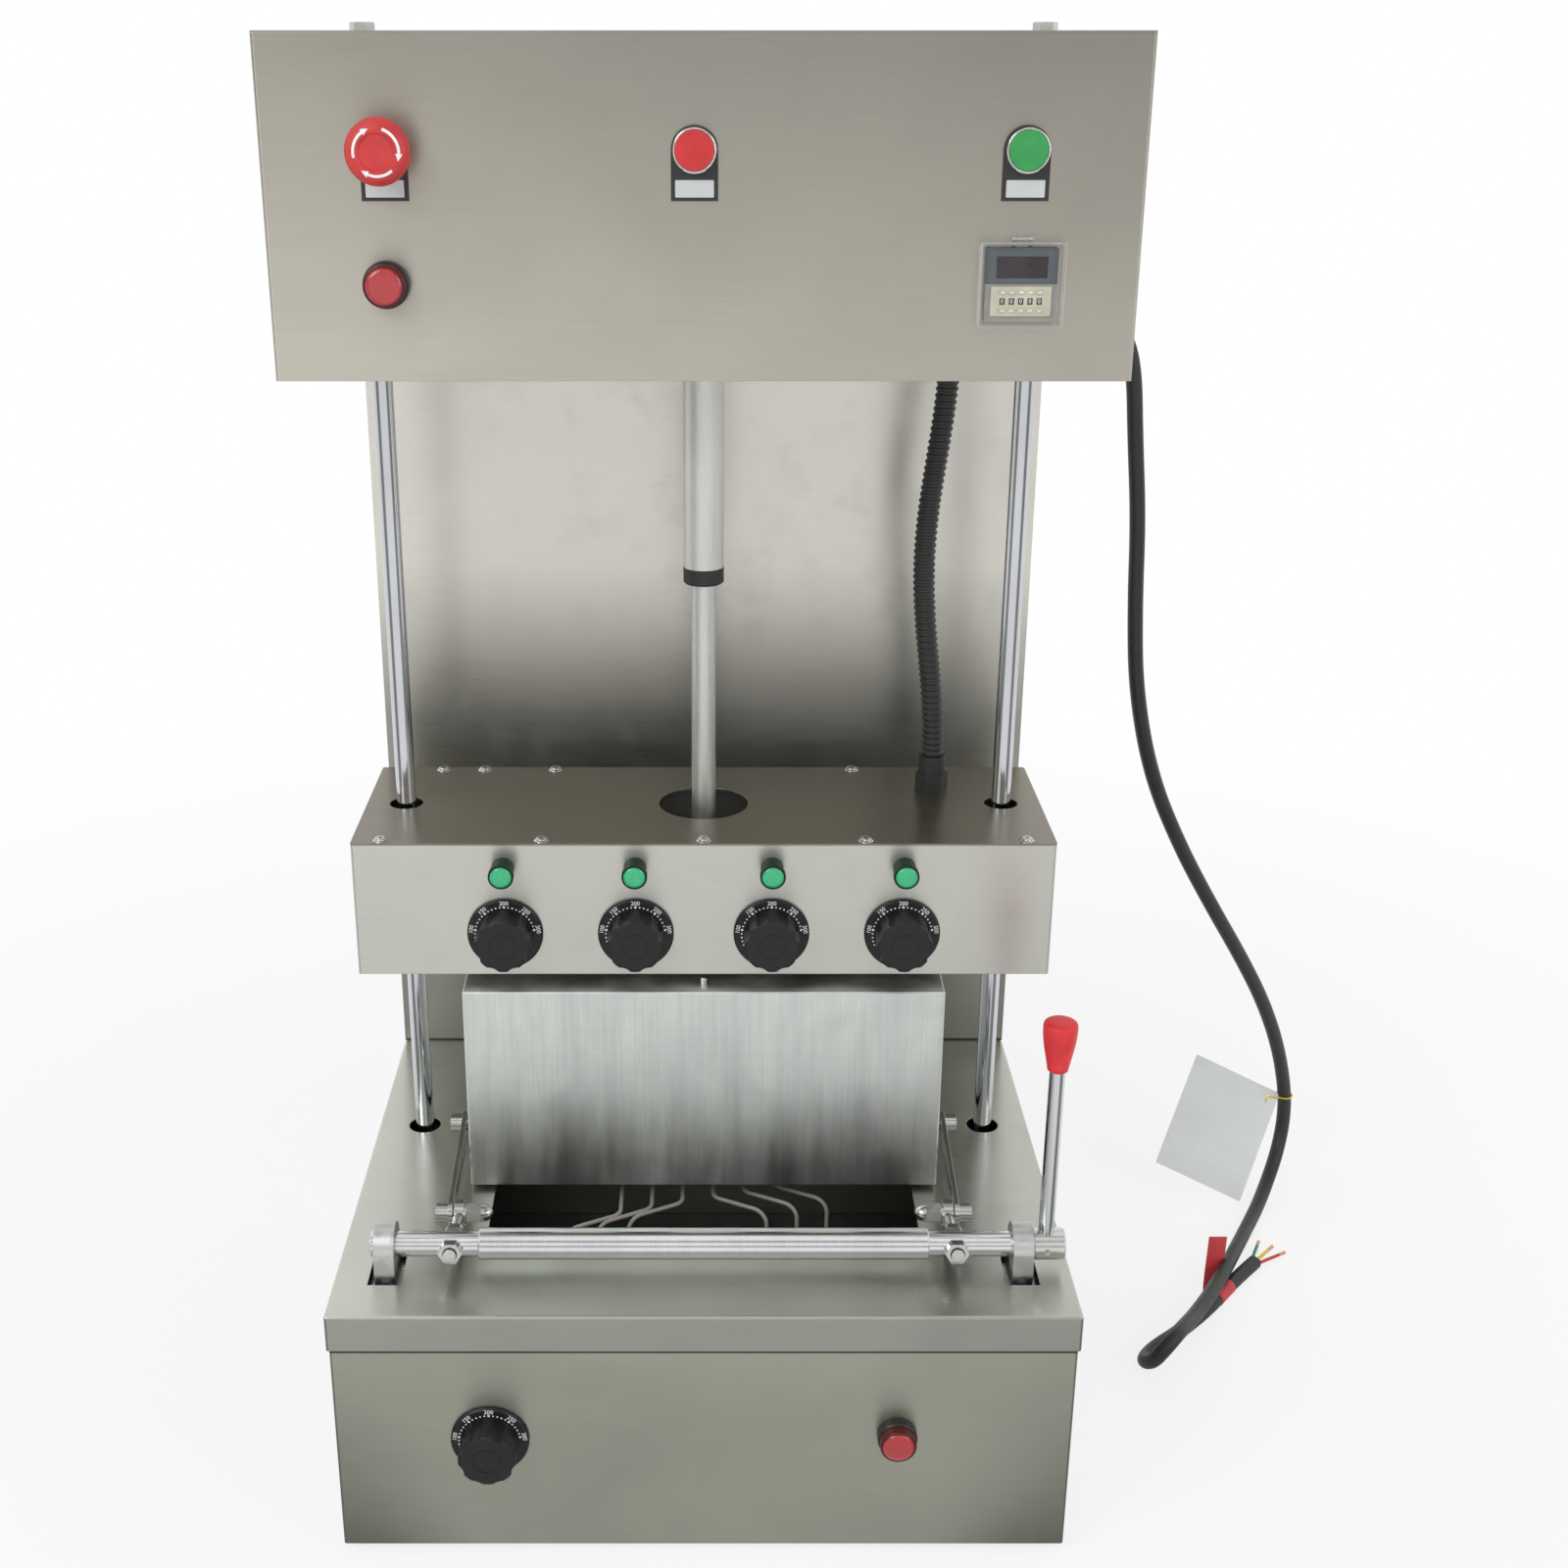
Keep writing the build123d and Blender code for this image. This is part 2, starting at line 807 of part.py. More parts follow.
def crank_place():
    """Local +Y points from the crank axis to the eyes, as they lie at rest."""
    return Pos(0, back(crank_y), up(crank_z)) * Rot(-eye_dip, 0, 0)


def crank_shaft():
    bracket_face = bracket_x + bracket_thickness / 2
    end = bracket_face + hub_play + hub_length - hub_edge
    y = back(crank_y)
    z = up(crank_z)
    shaft = axle(shaft_radius, -bracket_face - stub_proud, end, y, z)
    shaft = chamfer(shaft.edges().filter_by(GeomType.CIRCLE), shaft_edge)
    middle = axle(shaft_middle_radius, -shaft_middle_half, shaft_middle_half, y, z)
    middle = chamfer(middle.edges().filter_by(GeomType.CIRCLE), shaft_edge)
    shaft += middle
    for side in (-1, 1):
        shaft -= crank_place() * Pos(side * eye_x, 0, 0) * Rot(90, 0, 0) * disc(
            eye_bolt_radius + fit, -2 * shaft_radius, 2 * shaft_radius
        )
    return shaft


def lever_hub():
    left = bracket_x + bracket_thickness / 2 + hub_play
    y = back(crank_y)
    z = up(crank_z)
    hub = axle(hub_radius, left, left + hub_length, y, z)
    hub = chamfer(hub.edges().filter_by(GeomType.CIRCLE), hub_edge)
    hub -= axle(shaft_radius + fit, left - cut, left + hub_length + cut, y, z)
    hub -= post(lever_radius + fit, lever_x, y, z, z + 2 * hub_radius)
    return hub - on_panel(lever_x, y - hub_radius, z) * disc(set_screw_radius, -set_screw_depth, cut)


lever_knob_height = 49.0
lever_socket = 24.0
knob_top_radius = 13.7
knob_foot_radius = 7.6
knob_foot_round = 1.0
knob_shoulder_share = 0.72
knob_flare_share = 0.35
knob_crown = 1.6
knob_top_round = 2.0


def lever_rod():
    low = up(crank_z) + shaft_radius + seat
    high = up(lever_top - lever_knob_height + lever_socket)
    return post(lever_radius, lever_x, back(crank_y), low, high)


def corner_arc(centre_radius, centre_height, radius, rise):
    """A quarter round between a wall and the face above it, or below it where rise is -1."""
    side = (centre_radius + radius, centre_height)
    middle = (centre_radius + radius * cos(pi / 4), centre_height + rise * radius * sin(pi / 4))
    face = (centre_radius, centre_height + rise * radius)
    return ThreePointArc(side, middle, face) if rise > 0 else ThreePointArc(face, middle, side)


def lever_knob():
    height = lever_knob_height
    shoulder = height * knob_shoulder_share
    heel = corner_arc(knob_foot_radius - knob_foot_round, knob_foot_round, knob_foot_round, -1)
    flank = Spline(heel @ 1, (knob_top_radius, shoulder), tangents=((knob_flare_share, 1), (0, 1)))
    edge_height = height - knob_crown - knob_top_round
    edge = corner_arc(knob_top_radius - knob_top_round, edge_height, knob_top_round, 1)
    rim = Line(flank @ 1, edge @ 0)
    crown = Line(edge @ 1, (0, height))
    spine = Line(crown @ 1, (0, 0))
    profile = make_face(Curve() + [heel, flank, rim, edge, crown, spine, Line((0, 0), heel @ 0)])
    knob = revolve(Rot(90, 0, 0) * profile, Axis.Z)
    knob -= disc(lever_radius + fit, -cut, lever_socket + seat)
    return Pos(lever_x, back(crank_y), up(lever_top) - height) * knob


eye_bolt_radius = 5.0
eye_bolt_tail = 20.5
eye_outer = 11.0
eye_thickness = 8.0
nut_flats = 16.5
nut_height = 8.0
nut_seat = 0.1
pivot_radius = 4.9
pivot_inner_reach = 27.4
acorn_length = 9.0
acorn_radius = 7.4
pivot_nut_length = 12.0
pivot_nut_flats = 15.0
washer_radius = 8.6
washer_thickness = 1.6


def eye_bolt(side):
    """An eye bolt through the shaft, along local +Y."""
    along = Rot(-90, 0, 0)
    shank = along * disc(eye_bolt_radius, -eye_bolt_tail, eye_reach - eye_outer / 2)
    eye = axle(eye_outer, -eye_thickness / 2, eye_thickness / 2, eye_reach, 0)
    bolt = shank + eye - axle(pivot_radius + 2 * fit, -eye_thickness, eye_thickness, eye_reach, 0)
    return crank_place() * Pos(side * eye_x, 0, 0) * bolt


def shaft_nut(side, away):
    """A nut in front of the shaft, where away is -1, or behind it."""
    along = Rot(-90, 0, 0)
    low = shaft_radius + nut_seat
    high = low + nut_height
    nut = hexagon(nut_flats, low, high) - disc(eye_bolt_radius + fit, low - cut, high + cut)
    turn = Rot(0, 0, 0) if away > 0 else Rot(180, 0, 0)
    return crank_place() * Pos(side * eye_x, 0, 0) * turn * along * nut


def link_near():
    """Inner face of a link plate, as a distance from the middle."""
    return eye_x + eye_bolt_radius + open_gap


def pivot_pin(side):
    """Shank, washer and acorn nut that turn with the eye, built on local Z towards the middle."""
    start = link_near() - open_gap
    inner_face = eye_x - eye_thickness / 2
    flip = Rot(0, -90, 0) if side > 0 else Rot(0, 90, 0)
    reach = start - eye_x + pivot_inner_reach
    washer_low = start - inner_face + fit
    nut_low = washer_low + washer_thickness
    nut_high = nut_low + pivot_nut_length
    pin = disc(pivot_radius, 0, reach - acorn_length)
    pin += disc(washer_radius, washer_low, nut_low) + hexagon(pivot_nut_flats, nut_low, nut_high)
    dome_height = reach - nut_high + cut
    dome = Pos(0, 0, nut_high - cut) * scale(Sphere(1), by=(acorn_radius, acorn_radius, dome_height))
    pin += dome & disc(acorn_radius + cut, nut_high - cut, reach + cut)
    return crank_place() * Pos(side * start, eye_reach, 0) * flip * pin


def eye_bolts():
    solids = []
    for side in (-1, 1):
        solids.append(eye_bolt(side))
        solids.append(shaft_nut(side, -1))
        solids.append(shaft_nut(side, 1))
        solids.append(pivot_pin(side))
    return group(solids)


link_thickness = 4.0
link_width = 20.0
link_slot_width = 7.0
link_slot_shares = (0.2, 0.62)
socket_head_radius = 8.0
socket_head_length = 10.0
socket_radius = 3.6
socket_depth = 5.0


def eye_centre():
    """Y and Z of the eyes at rest."""
    return (
        back(crank_y) + eye_reach * cos(radians(eye_dip)),
        up(crank_z) - eye_reach * sin(radians(eye_dip)),
    )


def socket_head(low):
    """A cylindrical head with a hexagon socket, standing on local Z from low."""
    head = disc(socket_head_radius, low, low + socket_head_length)
    top = low + socket_head_length
    return head - hexagon(2 * socket_radius, top - socket_depth, top + cut)


def outward(side, near, y, z):
    """Local +Z points away from the middle along X."""
    return Pos(side * near, y, z) * (Rot(0, 90, 0) if side > 0 else Rot(0, -90, 0))


def link(side):
    eye_y, eye_z = eye_centre()
    pivot = (back(pivot_y), up(pivot_z))
    length = hypot(pivot[0] - eye_y, pivot[1] - eye_z)
    slope = degrees(atan2(pivot[1] - eye_z, pivot[0] - eye_y))
    near = link_near()
    bar = extrude(SlotCenterToCenter(length, link_width), link_thickness)
    low_share, high_share = link_slot_shares
    slot_length = length * (high_share - low_share)
    slot_middle = length * (high_share + low_share - 1) / 2
    slot = Pos(slot_middle, 0, -cut) * SlotCenterToCenter(slot_length, link_slot_width)
    bar -= extrude(slot, link_thickness + 2 * cut)
    for end in (-1, 1):
        bar -= Pos(end * length / 2, 0, 0) * disc(eye_bolt_radius + fit, -cut, link_thickness + cut)
    bar = chamfer(bar.faces().sort_by(Axis.Z)[-1].outer_wire().edges(), seat)
    flat = Rot(0, 90, 0) * Rot(0, 0, 90) * Rot(0, 0, slope)
    inner_x = near if side > 0 else -near - link_thickness
    plate = Pos(inner_x, (pivot[0] + eye_y) / 2, (pivot[1] + eye_z) / 2) * flat * bar
    bolt = disc(eye_bolt_radius, 0, link_thickness + fit) + socket_head(link_thickness + fit)
    return group([plate, outward(side, near, eye_y, eye_z) * bolt])


def link_left():
    return link(-1)


def link_right():
    return link(1)


# Mould

guide_pin_radius = 8.0
guide_pin_reach = 96.0
guide_pin_rise = 24.0
guide_pin_x_shares = (-1, 0, 1)
stud_radius = 7.0
top_stud_radius = 3.5
top_stud_height = 6.0
top_stud_inset = 17.0
tapped_depth = 16.0


def cavity_x_places():
    first = -(cavity_count - 1) / 2
    return [(first + index) * cavity_pitch for index in range(cavity_count)]


def cone_shape(shrink, extra):
    """A cone with a round tip, its mouth at local Z 0 and its tip downwards."""
    tip = cavity_tip_radius - shrink
    depth = cavity_depth - shrink
    top_radius = cavity_radius - shrink
    mouth = Line((0, extra), (top_radius, extra))
    if extra:
        collar = Line((top_radius, extra), (top_radius, 0))
    flank = Line((top_radius, 0), (tip, -depth + tip))
    nose = RadiusArc((tip, -depth + tip), (0, -depth), tip)
    spine = Line((0, -depth), (0, extra))
    edges = [mouth, collar, flank, nose, spine] if extra else [mouth, flank, nose, spine]
    return revolve(Rot(90, 0, 0) * make_face(Curve() + edges), Axis.Z)


def cavities():
    top = up(mould_bottom + mould_height)
    cones = [Pos(x, back(guide_row), top) * cone_shape(0, cut) for x in cavity_x_places()]
    return cones


def guide_pin_places():
    return [(share * cavity_pitch, up(mould_bottom + guide_pin_rise)) for share in guide_pin_x_shares]


def mould_half(front, rear):
    half = mould_width / 2
    low = up(mould_bottom)
    body = block((-half, half), (back(front), back(rear)), (low, low + mould_height))
    body = chamfer(body.edges(), mould_edge)
    for cone in cavities():
        body -= cone
    return body


def mould_front():
    half = mould_half(mould_front_y, guide_row - parting_gap / 2)
    for x, z in guide_pin_places():
        pin_hole = disc(guide_pin_radius + running, -cut, guide_pin_reach + cut)
        half -= on_panel(x, back(guide_row), z) * pin_hole
    top = up(mould_bottom + mould_height)
    half -= post(
        top_stud_radius + fit, 0, back(mould_front_y + top_stud_inset), top - tapped_depth, top + cut
    )
    for side in (-1, 1):
        edge = mould_width / 2
        half -= outward(side, edge, back(pivot_y), up(pivot_z)) * disc(pivot_radius + fit, -tapped_depth, cut)
    return half


def mould_rear():
    half = mould_half(guide_row + parting_gap / 2, guide_row + mould_rear_depth)
    for x, z in guide_pin_places():
        pin_hole = disc(guide_pin_radius + fit, -mould_rear_depth / 2 - cut, cut)
        half -= on_panel(x, back(guide_row), z) * pin_hole
    return half


def mould_guide_pins():
    pin = disc(guide_pin_radius, -mould_rear_depth / 2, guide_pin_reach)
    pin = chamfer(pin.edges().filter_by(GeomType.CIRCLE), mould_edge)
    return group([on_panel(x, back(guide_row), z) * pin for x, z in guide_pin_places()])


def mould_studs():
    edge = mould_width / 2
    spacer = link_near() - edge - open_gap
    solids = []
    for side in (-1, 1):
        shank = disc(pivot_radius, -tapped_depth + cut, spacer + 2 * open_gap + link_thickness)
        stud = shank + disc(stud_radius, 0, spacer) + socket_head(spacer + 2 * open_gap + link_thickness)
        solids.append(outward(side, edge, back(pivot_y), up(pivot_z)) * stud)
    top = up(mould_bottom + mould_height)
    stop_y = back(mould_front_y + top_stud_inset)
    stop = post(top_stud_radius, 0, stop_y, top - tapped_depth + cut, top + top_stud_height)
    solids.append(fillet(stop.edges().sort_by(Axis.Z)[-1], top_stud_radius / 2))
    return group(solids)


lead_radius = 1.7
lead_count = 6
lead_first_x = -70.0
lead_step = 26.0
lead_sink = 14.0
lead_level = base_height - lead_sink
lead_drop = 70.0
lead_ahead = 40.0
lead_front = mould_front_y - lead_ahead
lead_front_step = 9.0
lead_slant = 45.0
lead_behind = 9.0
lead_start = guide_row + lead_behind
lead_bend = 12.0


def heater_leads():
    leads = []
    for index in range(lead_count):
        x = lead_first_x + index * lead_step
        side = -1 if index < lead_count / 2 else 1
        front = lead_front + lead_front_step * index
        turn_x = x + side * lead_slant
        route = FilletPolyline(
            (x, back(lead_start), up(mould_bottom)),
            (x, back(lead_start), up(lead_level)),
            (x, back(front + 2 * lead_bend), up(lead_level)),
            (turn_x, back(front), up(lead_level)),
            (turn_x, back(front), up(lead_level - lead_drop)),
            radius=lead_bend,
        )
        section = Plane(origin=route @ 0, z_dir=route % 0) * Circle(lead_radius)
        leads.append(sweep(section, path=route))
    return group(leads)


# Carriage

def carriage_inner_half():
    return carriage_width / 2 - sheet


lid_screw_side_inset = 23.5
lid_screw_middle_x = 130.0
lid_screw_rear_inset = 54.5
lid_screw_rear_step = 36.0
lid_screw_inset = 7.0
carriage_flange = 15.0
punch_hole_play = 2.0
lid_hole_radius = 37.3
gland_neck_radius = 8.0


def lid_screw_places():
    front = back(carriage_front + lid_screw_inset)
    rear = back(carriage_front + carriage_depth - lid_screw_inset)
    side = carriage_width / 2 - lid_screw_side_inset
    rear_left = lid_screw_rear_inset - carriage_width / 2
    front_row = (-side, -lid_screw_middle_x, 0, lid_screw_middle_x, side)
    rear_row = (rear_left, rear_left + lid_screw_rear_step, -lid_screw_middle_x, lid_screw_middle_x)
    return [(x, front) for x in front_row] + [(x, rear) for x in rear_row]


def carriage_shell():
    front = back(carriage_front)
    rear = back(carriage_front + carriage_depth)
    low = up(carriage_bottom)
    high = up(carriage_bottom + carriage_height - sheet)
    half = carriage_inner_half()
    shell = sheet_ring(carriage_width, front, rear, low, high, cover_bend)
    bottom = block((-half, half), (front + sheet - seat, rear - sheet + seat), (low, low + sheet))
    through = (low - cut, low + sheet + cut)
    for x in cavity_x_places():
        bottom -= post(cavity_radius - dough_gap + punch_hole_play, x, back(guide_row), *through)
    for side in (-1, 1):
        bottom -= post(rod_hole_radius, side * rod_spread, back(guide_row), *through)
    shell += bottom
    for edge, reach in ((front + sheet - seat, carriage_flange), (rear - sheet + seat, -carriage_flange)):
        lip = block((-half, half), sorted((edge, edge + reach)), (high - sheet, high))
        for x, y in lid_screw_places():
            lip -= post(screw_hole, x, y, high - sheet - cut, high + cut)
        shell += lip
    for x in knob_places():
        shell -= on_panel(x, front, up(knob_z)) * disc(spindle_hole, -2 * sheet, sheet)
        shell -= on_panel(x, front, up(green_lamp_z)) * disc(green_neck_radius + fit, -2 * sheet, sheet)
    return shell


def carriage_lid():
    front = back(carriage_front)
    rear = back(carriage_front + carriage_depth)
    high = up(carriage_bottom + carriage_height)
    half = carriage_width / 2
    lid = block((-half, half), (front, rear), (high - sheet, high))
    lid = fillet(lid.edges().filter_by(Axis.Z), cover_bend)
    through = (high - sheet - cut, high + cut)
    for side in (-1, 1):
        lid -= post(rod_hole_radius, side * rod_spread, back(guide_row), *through)
    lid -= post(lid_hole_radius, 0, back(guide_row), *through)
    lid -= post(gland_neck_radius + fit, conduit_x, back(conduit_row), *through)
    for x, y in lid_screw_places():
        lid -= post(screw_hole, x, y, *through)
    return lid


bearing_radius = 14.0
bearing_length = 37.0
bearing_flange_radius = 24.0
bearing_flange_height = 6.0
end_flange_height = 30.0


def carriage_beam():
    half = carriage_inner_half() - seat
    y_limits = (back(guide_row - beam_depth / 2), back(guide_row + beam_depth / 2))
    low = up(carriage_bottom + beam_height)
    high = up(beam_top())
    beam = block((-half, half), y_limits, (low, high))
    for side in (-1, 1):
        ends = sorted((side * half, side * (half - beam_thickness / 2)))
        beam += block(ends, y_limits, (low - end_flange_height, high))
        beam -= post(bearing_radius + fit, side * rod_spread, back(guide_row), low - cut, high + cut)
    return beam + lug_pair(high + lower_pin_rise, high - cut)


def carriage_bearings():
    high = up(beam_top())
    solids = []
    for side in (-1, 1):
        top = high + bearing_flange_height
        body = post(bearing_radius, side * rod_spread, back(guide_row), top - bearing_length, top)
        body += post(bearing_flange_radius, side * rod_spread, back(guide_row), high, top)
        body -= post(
            rod_radius + running, side * rod_spread, back(guide_row), top - bearing_length - cut, top + cut
        )
        solids.append(body)
    return group(solids)


punch_flange_height = 8.0


def cone_punches():
    mouth = up(mould_bottom + mould_height)
    under_beam = up(carriage_bottom + beam_height)
    solids = []
    for x in cavity_x_places():
        cone = Pos(x, back(guide_row), mouth) * cone_shape(dough_gap, under_beam - mouth)
        collar = post(cavity_radius, x, back(guide_row), under_beam - punch_flange_height, under_beam)
        solids.append(cone + collar)
    return group(solids)


def carriage_fasteners():
    high = up(carriage_bottom + carriage_height)
    solids = [Pos(x, y, high) * pan_screw() for x, y in lid_screw_places()]
    solids.append(clevis_pin(up(beam_top() + lower_pin_rise)))
    return group(solids)


def thermostat(x, wall_face, z):
    """A capillary thermostat behind a panel whose back is at wall_face."""
    body = extrude(
        Pos(0, 0, -thermostat_depth) * RectangleRounded(thermostat_size, thermostat_size, thermostat_corner),
        thermostat_depth,
    )
    body -= disc(spindle_radius + running, -spindle_reach - cut, cut)
    return on_panel(x, wall_face, z) * body


def carriage_thermostats():
    return group([thermostat(x, back(carriage_front + sheet), up(knob_z)) for x in knob_places()])


def base_thermostat():
    return thermostat(base_knob_x, back(cover_back() + sheet), up(base_knob_z))


def knob(x, face, z):
    """A dial and fluted grip in one moulding, and the spindle that it turns."""
    skirt = turned([
        (0, knob_gap), (skirt_radius - skirt_rim / 2, knob_gap), (skirt_radius, knob_gap + skirt_rim),
        (skirt_radius - skirt_rim, knob_gap + skirt_thickness), (0, knob_gap + skirt_thickness),
    ])
    outline = Sketch() + Circle(grip_radius)
    flute_place = grip_radius + flute_radius - flute_depth
    for index in range(flute_count):
        angle = 2 * pi * (index + 0.5) / flute_count
        outline -= Pos(flute_place * sin(angle), flute_place * cos(angle)) * Circle(flute_radius)
    grip_foot = knob_gap + skirt_thickness / 2
    grip = extrude(Pos(0, 0, grip_foot) * outline, knob_height - grip_foot)
    dome = disc(grip_radius + cut, 0, knob_height)
    dome = fillet(dome.edges().sort_by(Axis.Z)[-1], grip_round + cut)
    moulding = skirt + (grip & dome)
    moulding -= disc(spindle_radius + fit, -cut, knob_height / 2)
    spindle = disc(spindle_radius, -sheet - spindle_reach, knob_height / 2 - cut)
    place = on_panel(x, face, z)
    return group([place * moulding, place * spindle])


def green_lamp(x):
    neck_end = -sheet - green_neck_length
    outline = [
        (0, neck_end), (green_neck_radius, neck_end), (green_neck_radius, 0), (green_radius, 0),
        (green_radius, green_length - cut), (green_radius - cut, green_length), (0, green_length),
    ]
    return on_panel(x, back(carriage_front), up(green_lamp_z)) * turned(outline)


def green_lamps():
    return group([green_lamp(x) for x in knob_places()])


conduit_gland_flats = 24.0
conduit_gland_base = 14.0
conduit_gland_height = 30.0
conduit_gland_radius = 11.2
upper_gland_height = 12.0


def conduit_gland():
    low = up(carriage_bottom + carriage_height)
    gland = hexagon(conduit_gland_flats, 0, conduit_gland_base)
    gland += disc(conduit_gland_radius, 0, conduit_gland_height)
    gland += disc(gland_neck_radius, -sheet - gland_neck_radius, cut)
    return Pos(conduit_x, back(conduit_row), low) * gland


# Panel devices on the head and the base

def pilot_places():
    return [
        (head_lamp_x, back(head_front), up(device_z)),
        (base_lamp_x, back(cover_back()), up(base_lamp_z)),
    ]


def pilot_holders():
    outline = [
        (0, -device_neck_length), (device_neck_radius, -device_neck_length), (device_neck_radius, 0),
        (lamp_holder_radius, 0), (lamp_holder_radius, lamp_holder_height - cut),
        (lamp_holder_radius - cut, lamp_holder_height), (lens_radius - cut, lamp_holder_height),
        (lens_radius - cut, lamp_holder_height - lens_plug), (0, lamp_holder_height - lens_plug),
    ]
    return group([on_panel(*place) * turned(outline) for place in pilot_places()])


lens_round = 1.5


def pilot_lenses():
    lens = disc(lens_radius, lamp_holder_height + fit, lamp_holder_height + lens_height)
    lens = fillet(lens.edges().sort_by(Axis.Z)[-1], lens_round)
    lens += disc(lens_radius - cut - seat, lamp_holder_height - lens_plug + fit, lamp_holder_height + cut)
    return group([on_panel(*place) * lens for place in pilot_places()])


def legend_plates():
    width = legend_width
    outline = Pos(0, -legend_drop / 2) * Rectangle(width, legend_drop) + Circle(width / 2)
    plate = extrude(outline, legend_thickness)
    plate -= disc(device_neck_radius + neck_play, -cut, legend_thickness + cut)
    window_y = -legend_drop + legend_window_margin + legend_window_height / 2
    plate -= Pos(0, window_y, legend_thickness) * Box(
        legend_window_width, legend_window_height, 2 * legend_window_depth
    )
    return group([on_panel(x, back(head_front), up(button_z)) * plate for x in (estop_x, rise_x, down_x)])


def button_top():
    return legend_thickness + bezel_height + button_proud


def collar_top():
    return legend_thickness + bezel_height / 2 + cut


def panel_bezels():
    low = legend_thickness
    recess = button_top() - button_thickness - button_travel - open_gap
    ring = turned([
        (stem_radius + running, -device_neck_length), (device_neck_radius, -device_neck_length),
        (device_neck_radius, low), (bezel_radius, low), (bezel_radius, low + bezel_height - cut),
        (bezel_radius - bezel_wall / 2, low + bezel_height), (button_radius + open_gap, low + bezel_height),
        (button_radius + open_gap, recess), (stem_radius + running, recess),
    ])
    collar = turned([
        (estop_stem_radius + running, -device_neck_length), (device_neck_radius, -device_neck_length),
        (device_neck_radius, low), (estop_collar_radius, low), (estop_collar_radius, collar_top() - cut),
        (estop_collar_radius - cut, collar_top()), (estop_stem_radius + running, collar_top()),
    ])
    places = [(rise_x, ring), (down_x, ring), (estop_x, collar)]
    return group([on_panel(x, back(head_front), up(button_z)) * solid for x, solid in places])


def push_button(x):
    top = button_top()
    button = disc(button_radius, top - button_thickness, top)
    button = fillet(button.edges().sort_by(Axis.Z)[-1], button_proud)
    button += disc(stem_radius, -stem_length, top - button_thickness + fit)
    return on_panel(x, back(head_front), up(button_z)) * button


def estop_stem():
    stem = disc(estop_stem_radius, -estop_stem_length, estop_stem_top)
    return on_panel(estop_x, back(head_front), up(button_z)) * stem


def estop_button():
    side = (mushroom_shoulder + mushroom_top) / 2
    bottom = collar_top() + estop_travel + mushroom_clear
    bore = estop_stem_radius + running
    inner = Line((bore, bottom), (bore, estop_stem_top + open_gap))
    roof = Line(inner @ 1, (0, estop_stem_top + open_gap))
    spine = Line(roof @ 1, (0, mushroom_top - mushroom_face_sink))
    dish = Line(spine @ 1, (mushroom_face_radius - mushroom_face_sink, mushroom_top - mushroom_face_sink))
    step = Line(dish @ 1, (mushroom_face_radius, mushroom_top))
    crown = ThreePointArc(
        step @ 1,
        ((mushroom_face_radius + mushroom_radius) / 2, mushroom_top - mushroom_face_sink),
        (mushroom_radius - cut, side + cut),
    )
    rim = ThreePointArc(crown @ 1, (mushroom_radius, side - cut / 2), (mushroom_radius - cut, side - 2 * cut))
    under = Line(rim @ 1, (mushroom_neck_radius, mushroom_shoulder - cut))
    neck = Line(under @ 1, (mushroom_neck_radius, bottom))
    foot = Line(neck @ 1, inner @ 0)
    profile = make_face(Curve() + [inner, roof, spine, dish, step, crown, rim, under, neck, foot])
    return on_panel(estop_x, back(head_front), up(button_z)) * revolve(Rot(90, 0, 0) * profile, Axis.Z)


def timer_body():
    bezel = extrude(RectangleRounded(timer_bezel, timer_bezel, cut), timer_bezel_height)
    rear = Pos(0, 0, -timer_body_length / 2) * Box(timer_body_size, timer_body_size, timer_body_length)
    body = bezel + rear
    body -= Pos(0, timer_window_rise, timer_bezel_height) * Box(
        timer_window_width, timer_window_height, 2 * timer_window_depth
    )
    hinge_y = timer_cover_height / 2 + knuckle_offset
    ear_inner = knuckle_length / 2 + seat
    ear_outer = ear_inner + timer_ear
    for side in (-1, 1):
        ear_limits = sorted((side * ear_inner, side * ear_outer))
        low_y = timer_bezel / 2 + timer_ear + seat
        body += block(ear_limits, (timer_bezel / 2 - cut, hinge_y + knuckle_radius), (0, seat))
        body += block(ear_limits, (low_y + timer_cover_wall, hinge_y + knuckle_radius), (0, knuckle_z))
    body += axle(timer_pin_radius, -ear_outer, ear_outer, hinge_y, knuckle_z)
    return on_panel(timer_x, back(head_front), up(device_z)) * body


def timer_switches():
    plate = extrude(RectangleRounded(switch_width, switch_height, cut / 2), switch_thickness)
    first = -(digit_count - 1) / 2
    for index in range(digit_count):
        x = (first + index) * digit_pitch
        plate -= Pos(x, 0, switch_thickness) * Box(digit_width, digit_height, 2 * digit_depth)
        for side in (-1, 1):
            plate += Pos(x, side * key_offset, switch_thickness) * Box(digit_width, key_height, 2 * key_proud)
    place = on_panel(timer_x, back(head_front), up(device_z))
    return place * Pos(0, -switch_drop, timer_bezel_height) * plate


